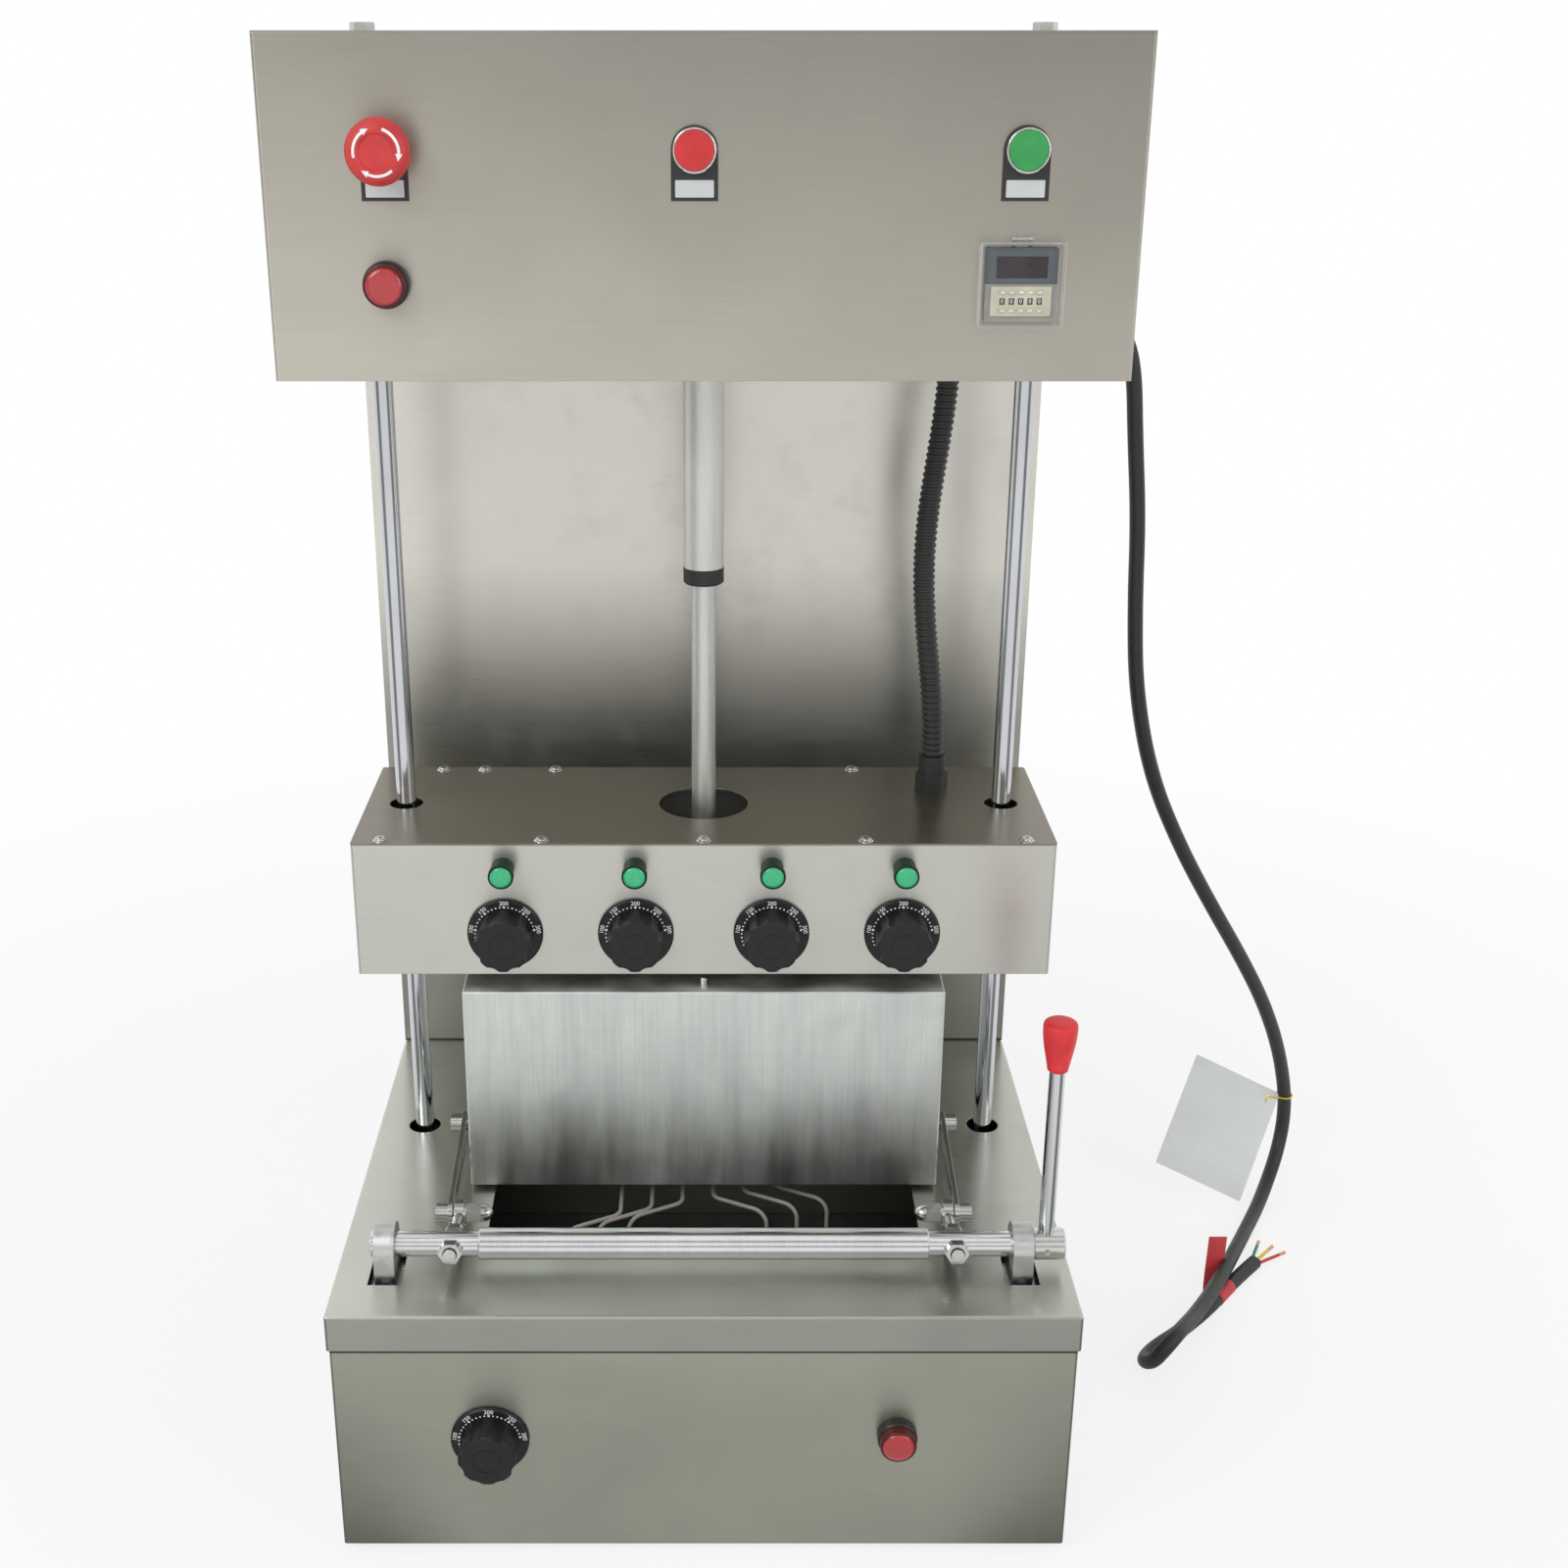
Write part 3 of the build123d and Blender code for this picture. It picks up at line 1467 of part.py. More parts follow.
def timer_cover():
    width = timer_cover_width
    height = timer_cover_height
    depth = timer_cover_depth
    wall = timer_cover_wall
    outline = Pos(0, 0, open_gap) * RectangleRounded(width, height, timer_cover_corner)
    outer = extrude(outline, depth - open_gap)
    outer = fillet(outer.faces().sort_by(Axis.Z)[-1].edges(), cut)
    inner_half = (width / 2 - wall, height / 2 - wall)
    hollow = block((-inner_half[0], inner_half[0]), (-inner_half[1], inner_half[1]), (-cut, depth - wall))
    cover = outer - hollow
    hinge_y = height / 2 + knuckle_offset
    ear_inner = knuckle_length / 2 + seat
    slot_half = ear_inner + timer_ear + seat
    for side in (-1, 1):
        limits = sorted((side * (ear_inner - seat), side * slot_half))
        cover -= block(limits, (height / 2 - wall - cut, height / 2 + cut), (0, seat + open_gap))
    barrel_half = knuckle_length / 2
    barrel = axle(knuckle_radius, -barrel_half, barrel_half, hinge_y, knuckle_z)
    bridge = block(
        (-barrel_half, barrel_half),
        (height / 2 - wall / 2, hinge_y),
        (open_gap + seat, 2 * knuckle_z - open_gap),
    )
    bore = axle(timer_pin_radius + running, -barrel_half - cut, barrel_half + cut, hinge_y, knuckle_z)
    return on_panel(timer_x, back(head_front), up(device_z)) * (cover + (barrel + bridge - bore))


supply_inset = 52.0
supply_left = supply_inset - head_width / 2
supply_width = 110.0
supply_depth = 98.0
supply_rear_gap = 52.0
supply_front = base_depth - supply_rear_gap - supply_depth
supply_height = 52.0


def power_supply():
    low = up(head_bottom + sheet)
    case = block(
        (supply_left, supply_left + supply_width),
        (back(supply_front), back(supply_front + supply_depth)),
        (low, low + supply_height),
    )
    return chamfer(case.edges().filter_by(Axis.Z), sheet)


# Cords

cord_radius = 7.0
cord_exit_inset = 25.0
cord_exit_y = base_depth - cord_exit_inset
cord_exit_rise = 31.3
cord_exit_z = head_bottom + cord_exit_rise
cord_gland_flats = 26.0
cord_gland_nut = 6.0
cord_gland_neck = 9.0
boot_ball_radius = 11.0
boot_tip_radius = 8.6
boot_length = 20.0
boot_droop = 30.0


def cable_glands():
    cord_gland = hexagon(cord_gland_flats, 0, cord_gland_nut)
    cord_gland += disc(cord_gland_neck, -2 * sheet, cut)
    cord_place = Pos(head_width / 2, back(cord_exit_y), up(cord_exit_z)) * Rot(0, 90, 0)
    conduit_top = hexagon(conduit_gland_flats, -upper_gland_height, 0)
    conduit_top += disc(conduit_neck_radius, -cut, 2 * sheet)
    conduit_place = Pos(conduit_x, back(conduit_row), up(head_bottom))
    return group([cord_place * cord_gland, conduit_place * conduit_top])


rib_count = 64
conduit_radius = 9.0
rib_valley = 7.9
conduit_bore = 6.6
conduit_sway = 13.5
rib_shares = (0.0, 0.22, 0.5, 0.72)


def conduit():
    """A ribbed hose between the two glands, bowed towards the middle."""
    low = up(carriage_bottom + carriage_height + conduit_gland_height)
    high = up(head_bottom - upper_gland_height)

    def place(share):
        bow = conduit_sway * sin(pi * share) ** 2
        return Pos(conduit_x - bow, back(conduit_row), low + (high - low) * share)

    radii = (rib_valley, conduit_radius, conduit_radius, rib_valley)
    circles = []
    for index in range(rib_count):
        for rib_share, radius in zip(rib_shares, radii):
            circles.append(place((index + rib_share) / rib_count) * Circle(radius))
    circles.append(place(1) * Circle(rib_valley))
    bores = [place(index / rib_count) * Circle(conduit_bore) for index in range(0, rib_count + 1, 4)]
    return loft(circles, ruled=True) - loft(bores, ruled=True)


# The cord's route by hand below its boot, as X, distance behind the front and height above
# the base's underside. It hangs in a long bow, lies on the bench, folds once and ends bare.
cord_first_run = 28.0
cord_route = [
    (357.6, 455.5, 892.9),
    (369.6, 456.5, 863.2),
    (375.8, 458.0, 800.0),
    (384.2, 460.0, 730.0),
    (388.4, 463.0, 647.0),
    (396.6, 468.0, 567.0),
    (418.8, 477.0, 482.0),
    (455.0, 490.0, 405.5),
    (497.5, 506.0, 332.7),
    (535.8, 524.0, 271.2),
    (568.7, 541.0, 212.5),
    (594.5, 558.0, 153.1),
    (611.3, 571.0, 94.0),
    (613.3, 569.0, 58.5),
    (605.5, 555.0, 27.5),
    (590.0, 530.0, 5.0),
    (572.5, 497.5, -3.0),
    (553.0, 461.0, -3.0),
    (523.7, 400.8, 7.0),
    (490.1, 335.9, 13.0),
    (455.2, 282.3, 14.5),
    (431.6, 248.8, 19.8),
    (421.2, 232.4, 24.5),
    (412.8, 226.1, 20.8),
    (405.6, 225.5, 12.4),
    (402.7, 230.8, 3.1),
    (405.5, 239.6, -3.0),
    (418.0, 255.3, -3.0),
    (445.4, 281.5, -3.0),
    (479.6, 320.8, -3.0),
    (512.0, 363.0, -3.0),
    (544.5, 398.7, -3.0),
]
turn_share = 0.45


def boot_place():
    """The middle of the boot's ball on the gland's nut, local +Z along the boot."""
    nut_face = head_width / 2 + cord_gland_nut
    return Pos(nut_face, back(cord_exit_y), up(cord_exit_z)) * Rot(0, 90 + boot_droop, 0)


def cord_boot():
    """The moulded strain relief: a ball that is flat against the nut, and a taper."""
    boot = Sphere(boot_ball_radius)
    boot += Pos(0, 0, boot_length / 2) * Cone(boot_ball_radius, boot_tip_radius, boot_length)
    boot = boot_place() * boot
    nut_face = head_width / 2 + cord_gland_nut
    reach = 2 * boot_ball_radius
    behind = block(
        (nut_face - reach, nut_face),
        (back(cord_exit_y) - reach, back(cord_exit_y) + reach),
        (up(cord_exit_z) - reach, up(cord_exit_z) + reach),
    )
    return boot - behind


def cord_points():
    start = (boot_place() * Pos(0, 0, boot_length)).position
    second = (boot_place() * Pos(0, 0, boot_length + cord_first_run)).position
    return [start, second] + [Vector(x, back(y), up(z)) for x, y, z in cord_route]


def cord_radii(points):
    """Each corner's radius is as large as its two runs allow."""
    radii = []
    for before, corner, after in zip(points, points[1:], points[2:]):
        shorter = min((corner - before).length, (after - corner).length)
        turn = (corner - before).get_angle(after - corner)
        radii.append(turn_share * shorter / tan(radians(turn / 2)))
    return radii


def power_cord():
    points = cord_points()
    radii = cord_radii(points)
    path = FilletPolyline(*points, radius=radii)
    section = Plane(origin=path @ 0, z_dir=path % 0) * Circle(cord_radius)
    cord = sweep(section, path=path)
    print("cord length", round(path.length, 1), "radii", [round(radius) for radius in radii])
    return cord + cord_boot()


core_radius = 1.6
core_length = 34.0
core_spread = 3.4
core_fan_shares = (-1, 0, 1)


def cord_cores():
    last, end = cord_points()[-2:]
    along = (end - last).normalized()
    across = Vector(-along.Y, along.X, 0)
    cores = []
    for share in core_fan_shares:
        start = end + across * (share * core_spread)
        far = start + along * core_length + across * (share * core_spread * 3)
        axis = (far - start).normalized()
        section = Plane(origin=start + axis * core_spread, z_dir=axis) * Circle(core_radius)
        core = extrude(section, core_length)
        collar = extrude(Plane(origin=start, z_dir=along) * Circle(core_radius), core_spread + core_radius)
        cores.append(core + collar)
    return group(cores)


nodes = {
    "base_shell": base_shell,
    "base_cover": base_cover,
    "base_floor": base_floor,
    "rubber_feet": rubber_feet,
    "inner_frame": inner_frame,
    "back_panel": back_panel,
    "rear_cover": rear_cover,
    "head_shell": head_shell,
    "head_floor": head_floor,
    "head_beam": head_beam,
    "guide_rods": guide_rods,
    "frame_fasteners": frame_fasteners,
    "actuator_housing": actuator_housing,
    "actuator_tube": actuator_tube,
    "wiper_ring": wiper_ring,
    "actuator_rod": actuator_rod,
    "crank_brackets": crank_brackets,
    "crank_shaft": crank_shaft,
    "lever_hub": lever_hub,
    "lever_rod": lever_rod,
    "lever_knob": lever_knob,
    "eye_bolts": eye_bolts,
    "link_left": link_left,
    "link_right": link_right,
    "mould_front": mould_front,
    "mould_rear": mould_rear,
    "mould_guide_pins": mould_guide_pins,
    "mould_studs": mould_studs,
    "heater_leads": heater_leads,
    "carriage_shell": carriage_shell,
    "carriage_lid": carriage_lid,
    "carriage_beam": carriage_beam,
    "carriage_bearings": carriage_bearings,
    "cone_punches": cone_punches,
    "carriage_fasteners": carriage_fasteners,
    "carriage_thermostats": carriage_thermostats,
    "green_lamps": green_lamps,
    "conduit_gland": conduit_gland,
    "base_thermostat": base_thermostat,
    "pilot_holders": pilot_holders,
    "pilot_lenses": pilot_lenses,
    "legend_plates": legend_plates,
    "panel_bezels": panel_bezels,
    "rise_button": lambda: push_button(rise_x),
    "down_button": lambda: push_button(down_x),
    "estop_stem": estop_stem,
    "estop_button": estop_button,
    "timer_body": timer_body,
    "timer_switches": timer_switches,
    "timer_cover": timer_cover,
    "power_supply": power_supply,
    "cable_glands": cable_glands,
    "conduit": conduit,
    "power_cord": power_cord,
    "cord_cores": cord_cores,
    "base_knob": lambda: knob(base_knob_x, back(cover_back()), up(base_knob_z)),
}
for number, knob_x in enumerate(knob_places(), start=1):
    nodes[f"dial_knob_{number}"] = lambda x=knob_x: knob(x, back(carriage_front), up(knob_z))

os.makedirs("parts", exist_ok=True)
for name, make in nodes.items():
    export_step(make(), f"parts/{name}.step")
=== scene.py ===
"""The looks of a pizza cone forming press, in metres, in the frame of its CAD model."""

from math import cos, pi, radians, sin

import bmesh
import bpy
from mathutils import Matrix, Vector
from mathutils.bvhtree import BVHTree


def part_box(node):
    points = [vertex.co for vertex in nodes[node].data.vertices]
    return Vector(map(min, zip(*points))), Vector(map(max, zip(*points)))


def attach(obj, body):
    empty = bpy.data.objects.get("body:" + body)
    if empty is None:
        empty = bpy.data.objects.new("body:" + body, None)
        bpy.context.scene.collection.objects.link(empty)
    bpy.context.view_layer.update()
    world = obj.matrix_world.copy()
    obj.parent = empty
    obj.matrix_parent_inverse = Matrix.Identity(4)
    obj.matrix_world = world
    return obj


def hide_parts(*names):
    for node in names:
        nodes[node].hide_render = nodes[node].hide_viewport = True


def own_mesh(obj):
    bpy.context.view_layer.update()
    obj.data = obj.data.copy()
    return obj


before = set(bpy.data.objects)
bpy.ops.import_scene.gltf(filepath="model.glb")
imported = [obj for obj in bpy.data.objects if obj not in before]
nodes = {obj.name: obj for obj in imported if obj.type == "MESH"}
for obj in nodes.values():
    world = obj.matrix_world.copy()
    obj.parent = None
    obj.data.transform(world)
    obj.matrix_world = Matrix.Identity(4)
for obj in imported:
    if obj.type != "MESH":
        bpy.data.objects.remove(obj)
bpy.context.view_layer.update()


def placed(name, data):
    """A new object in the scene."""
    thing = bpy.data.objects.new(name, data)
    bpy.context.scene.collection.objects.link(thing)
    return thing


# Camera

camera_height = 1.1343
camera_distance = 1.4973
camera_pitch = 21.14
camera_lens = 45.57
camera_sensor = 36.0
camera_shift = (0.05125, 0.0148)


def make_camera():
    data = bpy.data.cameras.new("camera")
    data.lens = camera_lens
    data.sensor_width = data.sensor_height = camera_sensor
    data.shift_x, data.shift_y = camera_shift
    camera = placed("camera", data)
    camera.location = (0, -camera_distance, camera_height)
    camera.rotation_euler = (radians(90 - camera_pitch), 0, 0)
    bpy.context.scene.camera = camera


make_camera()

# Finishes


class Nodes:
    """Short calls for one node tree."""

    def __init__(self, tree):
        self.tree = tree

    def add(self, kind, **settings):
        node = self.tree.nodes.new(kind)
        for key, value in settings.items():
            setattr(node, key, value)
        return node

    def put(self, socket, value):
        """A link where value is another node's socket, and else a plain value."""
        if isinstance(value, bpy.types.NodeSocket):
            self.tree.links.new(value, socket)
        else:
            socket.default_value = value

    def feed(self, node, **values):
        """Values or links for a node's inputs, by name."""
        for name, value in values.items():
            self.put(node.inputs[name.replace("_", " ")], value)

    def sum(self, kind, *values):
        node = self.add("ShaderNodeMath", operation=kind)
        for socket, value in zip(node.inputs, values):
            self.put(socket, value)
        return node.outputs[0]

    def span(self, value, low, high, new_low=0.0, new_high=1.0):
        node = self.add("ShaderNodeMapRange", clamp=True)
        self.feed(node, Value=value, From_Min=low, From_Max=high, To_Min=new_low, To_Max=new_high)
        return node.outputs[0]

    def axis(self, letter, source):
        node = self.add("ShaderNodeSeparateXYZ")
        self.put(node.inputs[0], source)
        return node.outputs[letter]

    def vector(self, kind, first, second):
        """A sum with vectors; a scale takes its factor as second."""
        node = self.add("ShaderNodeVectorMath", operation=kind)
        self.put(node.inputs[0], first)
        self.put(node.inputs["Scale" if kind == "SCALE" else 1], second)
        return node.outputs["Value" if kind == "DOT_PRODUCT" else "Vector"]

    def mix(self, kind, start, factor, low, high):
        """A mix node of one data type, whose two inputs of that type begin at start."""
        node = self.add("ShaderNodeMix", data_type=kind)
        for index, value in ((0, factor), (start, low), (start + 1, high)):
            self.put(node.inputs[index], value)
        return node

    def choose(self, factor, low, high):
        """A number between two, by factor."""
        return self.mix("FLOAT", 2, factor, low, high).outputs[0]


class Finish(Nodes):
    """A node material under construction, on coordinates that ride with the piece."""

    def __init__(self, name, colour, roughness, metallic=0.0, **constants):
        self.material = bpy.data.materials.new(name)
        self.material.use_nodes = True
        super().__init__(self.material.node_tree)
        self.shader = self.tree.nodes["Principled BSDF"]
        self.feed(self.shader, Metallic=metallic, **constants)
        self.colour = (*colour, 1)
        self.roughness = roughness
        self.height = None
        self.round = None
        where = self.add("ShaderNodeTexCoord")
        self.place = where.outputs["Object"]
        self.facing = where.outputs["Normal"]

    def stretch(self, scale, turn=(0, 0, 0)):
        """The piece's coordinates times scale, which is a number or one for each axis."""
        node = self.add("ShaderNodeMapping")
        each = scale if isinstance(scale, tuple) else (scale,) * 3
        self.feed(node, Vector=self.place, Scale=each, Rotation=turn)
        return node.outputs["Vector"]

    def noise(self, scale, detail=3.0, low=0.3, high=0.7, distortion=0.0):
        """Noise per metre along each axis, opened up between low and high to 0 to 1."""
        node = self.add("ShaderNodeTexNoise")
        place = self.stretch(scale)
        self.feed(node, Vector=place, Scale=1.0, Detail=detail, Distortion=distortion)
        return self.span(node.outputs[0], low, high)

    def cells(self, scale, output):
        node = self.add("ShaderNodeTexVoronoi")
        self.feed(node, Vector=self.stretch(scale), Scale=1.0)
        return node.outputs[output]

    def tint(self, factor, colour):
        self.colour = self.mix("RGBA", 6, factor, self.colour, (*colour, 1)).outputs[2]

    def shade(self, factor, dark, light):
        """Multiplies the colour by a grey between dark and light."""
        colour = self.colour[:3] if isinstance(self.colour, tuple) else self.colour
        self.colour = self.vector("SCALE", colour, self.span(factor, 0, 1, dark, light))

    def rough(self, factor, change):
        """Adds up to change to the roughness, by factor."""
        self.roughness = self.sum("MULTIPLY_ADD", factor, change, self.roughness)

    def relief(self, factor, depth):
        """Adds a height field, with its depth in metres."""
        scaled = self.sum("MULTIPLY", factor, depth)
        self.height = scaled if self.height is None else self.sum("ADD", self.height, scaled)

    def soften(self, radius):
        """Rounds the look of edges."""
        node = self.add("ShaderNodeBevel", samples=4)
        self.feed(node, Radius=radius)
        self.round = node.outputs[0]

    def done(self):
        """The material, whose relief lies on its softened edges."""
        bump = self.add("ShaderNodeBump")
        self.feed(bump, Distance=1.0, Height=self.height)
        if self.round is not None:
            self.feed(bump, Normal=self.round)
        self.feed(
            self.shader, Base_Color=self.colour, Roughness=self.roughness, Normal=bump.outputs[0]
        )
        return self.material


# The depth of the fine lines in brushed and turned metal
line_depth = 0.000004

# Painted shadow: a dark line in the gap above and below the base's cover
painted_shadow_above, painted_shadow_below = 0.0018, 0.0032
painted_shadow_grey = 0.22
cover_low, cover_high = (corner[2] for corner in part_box("base_cover"))


def brushed(name, colour, roughness=0.3, rise=None, run=None, waves=0.00010, painted_shadow_line=None):
    """Brushed stainless sheet: level grain, reflections drawn out across it, handling marks.

    rise and run paint light and shade on it along Z and X, a painted reflection: from, to, and the
    grey at each.
    """
    steel = Finish(name, colour, roughness, metallic=1.0, Anisotropic=0.7)
    lies = steel.span(steel.sum("ABSOLUTE", steel.axis("Z", steel.facing)), 0.5, 0.8)

    def grain(long, fine, detail, low, high):
        upright = steel.noise((long, long, fine), detail=detail, low=low, high=high)
        level = steel.noise((long, fine, long), detail=detail, low=low, high=high)
        return steel.choose(lies, upright, level)

    line = grain(26, 1700, 4.0, 0.3, 0.7)
    scratch = grain(12, 700, 2.0, 0.66, 0.76)
    smear = steel.noise((5, 9, 7), detail=4.0, distortion=0.6)
    prints = steel.noise((38, 38, 30), detail=5.0, low=0.52, high=0.75)
    steel.shade(line, 0.965, 1.03)
    steel.shade(smear, 0.93, 1.05)
    steel.shade(scratch, 1.0, 1.05)
    # Painted light and shade: a gradient along Z and X standing for reflections
    for letter, fade in (("Z", rise), ("X", run)):
        if fade:
            start, end, *greys = fade
            steel.shade(steel.span(steel.axis(letter, steel.place), start, end), *greys)
    # Painted shadow in the gap at the base's cover: a dark band along Z
    if painted_shadow_line:
        low, high = painted_shadow_line
        off = steel.sum("SUBTRACT", steel.axis("Z", steel.place), (low + high) / 2)
        near = steel.sum("LESS_THAN", steel.sum("ABSOLUTE", off), (high - low) / 2)
        steel.shade(near, 1.0, painted_shadow_grey)
    steel.rough(line, 0.08)
    steel.rough(smear, 0.07)
    steel.rough(prints, 0.05)
    steel.relief(line, line_depth)
    steel.relief(smear, waves)
    steel.soften(0.0007)
    level = steel.vector("CROSS_PRODUCT", steel.facing, (1, 0, 0))
    steel.feed(steel.shader, Tangent=steel.vector("ADD", level, (0, 0, 0.01)))
    return steel.done()


def round_metal(name, colour, roughness, rings, axis_scale, mark=0.06):
    """Turned, drawn or plated metal: fine lines round its axis, wear and smears."""
    metal = Finish(name, colour, roughness, metallic=1.0)
    line = metal.noise(axis_scale)
    smear = metal.noise((22, 22, 14), detail=4.0)
    worn = metal.noise((160, 160, 90), detail=5.0, low=0.55, high=0.8)
    metal.shade(line, 1 - mark, 1 + mark / 2)
    metal.shade(smear, 0.93, 1.04)
    metal.rough(line, rings)
    metal.rough(worn, 0.08)
    metal.relief(line, line_depth)
    metal.soften(0.0005)
    return metal.done()


# Between these heights the mould darkens towards the bottom
mould_darker_top, mould_darker_foot = 0.335, 0.245


def mould_metal():
    """Milled aluminium with upright streaks, a cloudy skin, baked-on stains, and runs that darken
    towards the bottom.
    """
    metal = Finish("mould_metal", (0.74, 0.77, 0.74), 0.33, metallic=1.0)
    streak = metal.noise((420, 420, 9), detail=5.0)
    broad = metal.noise((34, 30, 5), detail=5.0, distortion=0.8)
    cloud = metal.noise((11, 11, 8), detail=5.0, distortion=1.2, low=0.25, high=0.75)
    sweep = metal.noise((9, 9, 700))
    pits = metal.noise(900, detail=2.0, low=0.62, high=0.74)
    stain = metal.noise((16, 16, 26), detail=6.0, low=0.5, high=0.8, distortion=0.5)
    # Darker towards the bottom, in upright runs
    low_down = metal.span(metal.axis("Z", metal.place), mould_darker_top, mould_darker_foot)
    runs = metal.noise((13, 13, 3), detail=5.0, low=0.42, high=0.62)
    metal.shade(streak, 0.95, 1.05)
    metal.shade(sweep, 0.98, 1.02)
    metal.shade(broad, 0.88, 1.08)
    metal.shade(cloud, 0.86, 1.08)
    metal.shade(metal.sum("MULTIPLY", low_down, runs), 1.0, 0.50)
    metal.tint(metal.sum("MULTIPLY", stain, 0.12), (0.34, 0.32, 0.27))
    metal.rough(broad, 0.14)
    metal.rough(cloud, 0.10)
    metal.relief(streak, 0.000008)
    metal.relief(broad, 0.00008)
    metal.relief(pits, -0.00003)
    metal.soften(0.0006)
    return metal.done()


def cast_metal(name, colour, roughness):
    """Cast or galvanised metal: blotches, fine pits and a dull skin."""
    metal = Finish(name, colour, roughness, metallic=1.0)
    blotch = metal.axis("X", metal.cells(90, "Color"))
    pits = metal.noise(1300, detail=2.0)
    dust = metal.noise(25, detail=5.0)
    metal.shade(blotch, 0.9, 1.06)
    metal.shade(dust, 0.85, 1.05)
    metal.rough(blotch, 0.12)
    metal.relief(pits, 0.00002)
    metal.soften(0.0006)
    return metal.done()


def plastic(name, colour, roughness, grain=0.00001, dust=0.05, gloss=0.5):
    """Moulded plastic or rubber: a fine skin, uneven gloss and a little dust."""
    skin = Finish(name, colour, roughness, Specular_IOR_Level=gloss)
    fine = skin.noise(1900, detail=2.0)
    wide = skin.noise(60, detail=5.0)
    specks = skin.noise(700, low=0.62, high=0.78)
    skin.shade(wide, 0.86, 1.1)
    skin.tint(skin.sum("MULTIPLY", specks, dust), (0.55, 0.54, 0.5))
    skin.rough(wide, 0.12)
    skin.rough(specks, 0.1)
    skin.relief(fine, grain)
    skin.soften(0.0004)
    return skin.done()


def lens(name, colour, glow):
    """A lamp's lens with small prisms inside, clear on top."""
    glass = Finish(
        name, colour, 0.16, Coat_Weight=0.7, Coat_Roughness=0.05, Specular_IOR_Level=0.6,
        Emission_Color=(*glow, 1), Emission_Strength=0.03,
    )
    prisms = glass.cells(620, "Distance")
    haze = glass.noise(90, detail=4.0)
    glass.shade(glass.span(prisms, 0.0, 0.8), 0.86, 1.1)
    glass.shade(haze, 0.92, 1.05)
    glass.rough(haze, 0.1)
    glass.relief(prisms, 0.00004)
    glass.soften(0.0005)
    return glass.done()


def clear_cover():
    """Thin clear plastic: almost nothing over the face, pale in its side walls, a painted
    reflection.
    """
    cover = Finish("clear_cover", (0.84, 0.86, 0.85), 0.10)
    haze = cover.noise(45, detail=5.0, low=0.45, high=0.8)
    flat = cover.span(cover.sum("ABSOLUTE", cover.axis("Y", cover.facing)), 0.5, 0.95)
    # Painted reflection: pale, half opaque side walls
    painted_wall_sheen = cover.choose(flat, 0.42, 0.015)
    cover.feed(cover.shader, Alpha=cover.sum("MULTIPLY_ADD", haze, 0.012, painted_wall_sheen))
    cover.rough(haze, 0.1)
    cover.relief(haze, 0.00002)
    return cover.done()


thread_turn = 0.7


def sleeve_weave():
    """Pale woven sleeving: two crossing sets of threads."""
    weave = Finish("sleeve_weave", (0.30, 0.295, 0.265), 0.75, Sheen_Weight=0.1)
    waves = []
    for turn in (thread_turn, -thread_turn):
        node = weave.add("ShaderNodeTexWave", wave_type="BANDS", bands_direction="DIAGONAL")
        weave.feed(node, Vector=weave.stretch(320, (turn, turn, 0)), Scale=1.0, Distortion=0.4)
        waves.append(node.outputs["Fac"])
    thread = weave.sum("MAXIMUM", *waves)
    soil = weave.noise(60, detail=4.0)
    weave.shade(thread, 0.72, 1.05)
    weave.tint(weave.sum("MULTIPLY", soil, 0.3), (0.5, 0.46, 0.36))
    weave.relief(thread, 0.00008)
    return weave.done()


def paper(name, colour):
    card = Finish(name, colour, 0.62)
    fibre = card.noise((240, 240, 1200), detail=5.0)
    blot = card.noise(40, detail=4.0)
    card.shade(fibre, 0.97, 1.02)
    card.shade(blot, 0.96, 1.02)
    card.rough(fibre, 0.12)
    card.relief(fibre, 0.00001)
    return card.done()


# The cord's end: where its three cores fan out, and along what
cord_end = Vector((0.5445, 0.1707, 0.0070))
core_along = Vector((32.5, 35.7, 0)).normalized()
core_across = Vector((-core_along.y, core_along.x, 0))
core_half_gap = 0.0017
core_stripped = 0.0275


def core_sheaths():
    """Red, yellow and green cores with stripped copper ends, told apart by their place."""
    core = Finish("core_sheaths", (0.62, 0.06, 0.05), 0.38)
    local = core.vector("SUBTRACT", core.place, cord_end)
    across = core.vector("DOT_PRODUCT", local, core_across)
    core.tint(core.sum("GREATER_THAN", across, -core_half_gap), (0.86, 0.66, 0.04))
    core.tint(core.sum("GREATER_THAN", across, core_half_gap), (0.05, 0.30, 0.17))
    along = core.vector("DOT_PRODUCT", local, core_along)
    bare = core.sum("GREATER_THAN", along, core_stripped)
    core.tint(bare, (0.83, 0.42, 0.24))
    core.feed(core.shader, Metallic=bare)
    strand = core.noise((900, 900, 90))
    core.shade(strand, 0.82, 1.08)
    core.rough(strand, 0.15)
    core.relief(strand, 0.00005)
    return core.done()


def timer_face():
    """Blue grey above, warm grey below, as the timer's printed face is, with pale ears."""
    face = Finish("timer_face", (0.30, 0.30, 0.27), 0.42)
    level = face.axis("Z", face.place)
    upper = face.sum("GREATER_THAN", level, timer_place[2] + timer_split)
    face.tint(upper, (0.070, 0.088, 0.102))
    ears = face.sum("GREATER_THAN", level, timer_place[2] + timer_ears)
    face.tint(ears, (0.44, 0.43, 0.40))
    fine = face.noise(2000, detail=2.0)
    wide = face.noise(120)
    face.shade(wide, 0.9, 1.08)
    face.rough(wide, 0.1)
    face.relief(fine, 0.000008)
    face.soften(0.0004)
    return face.done()


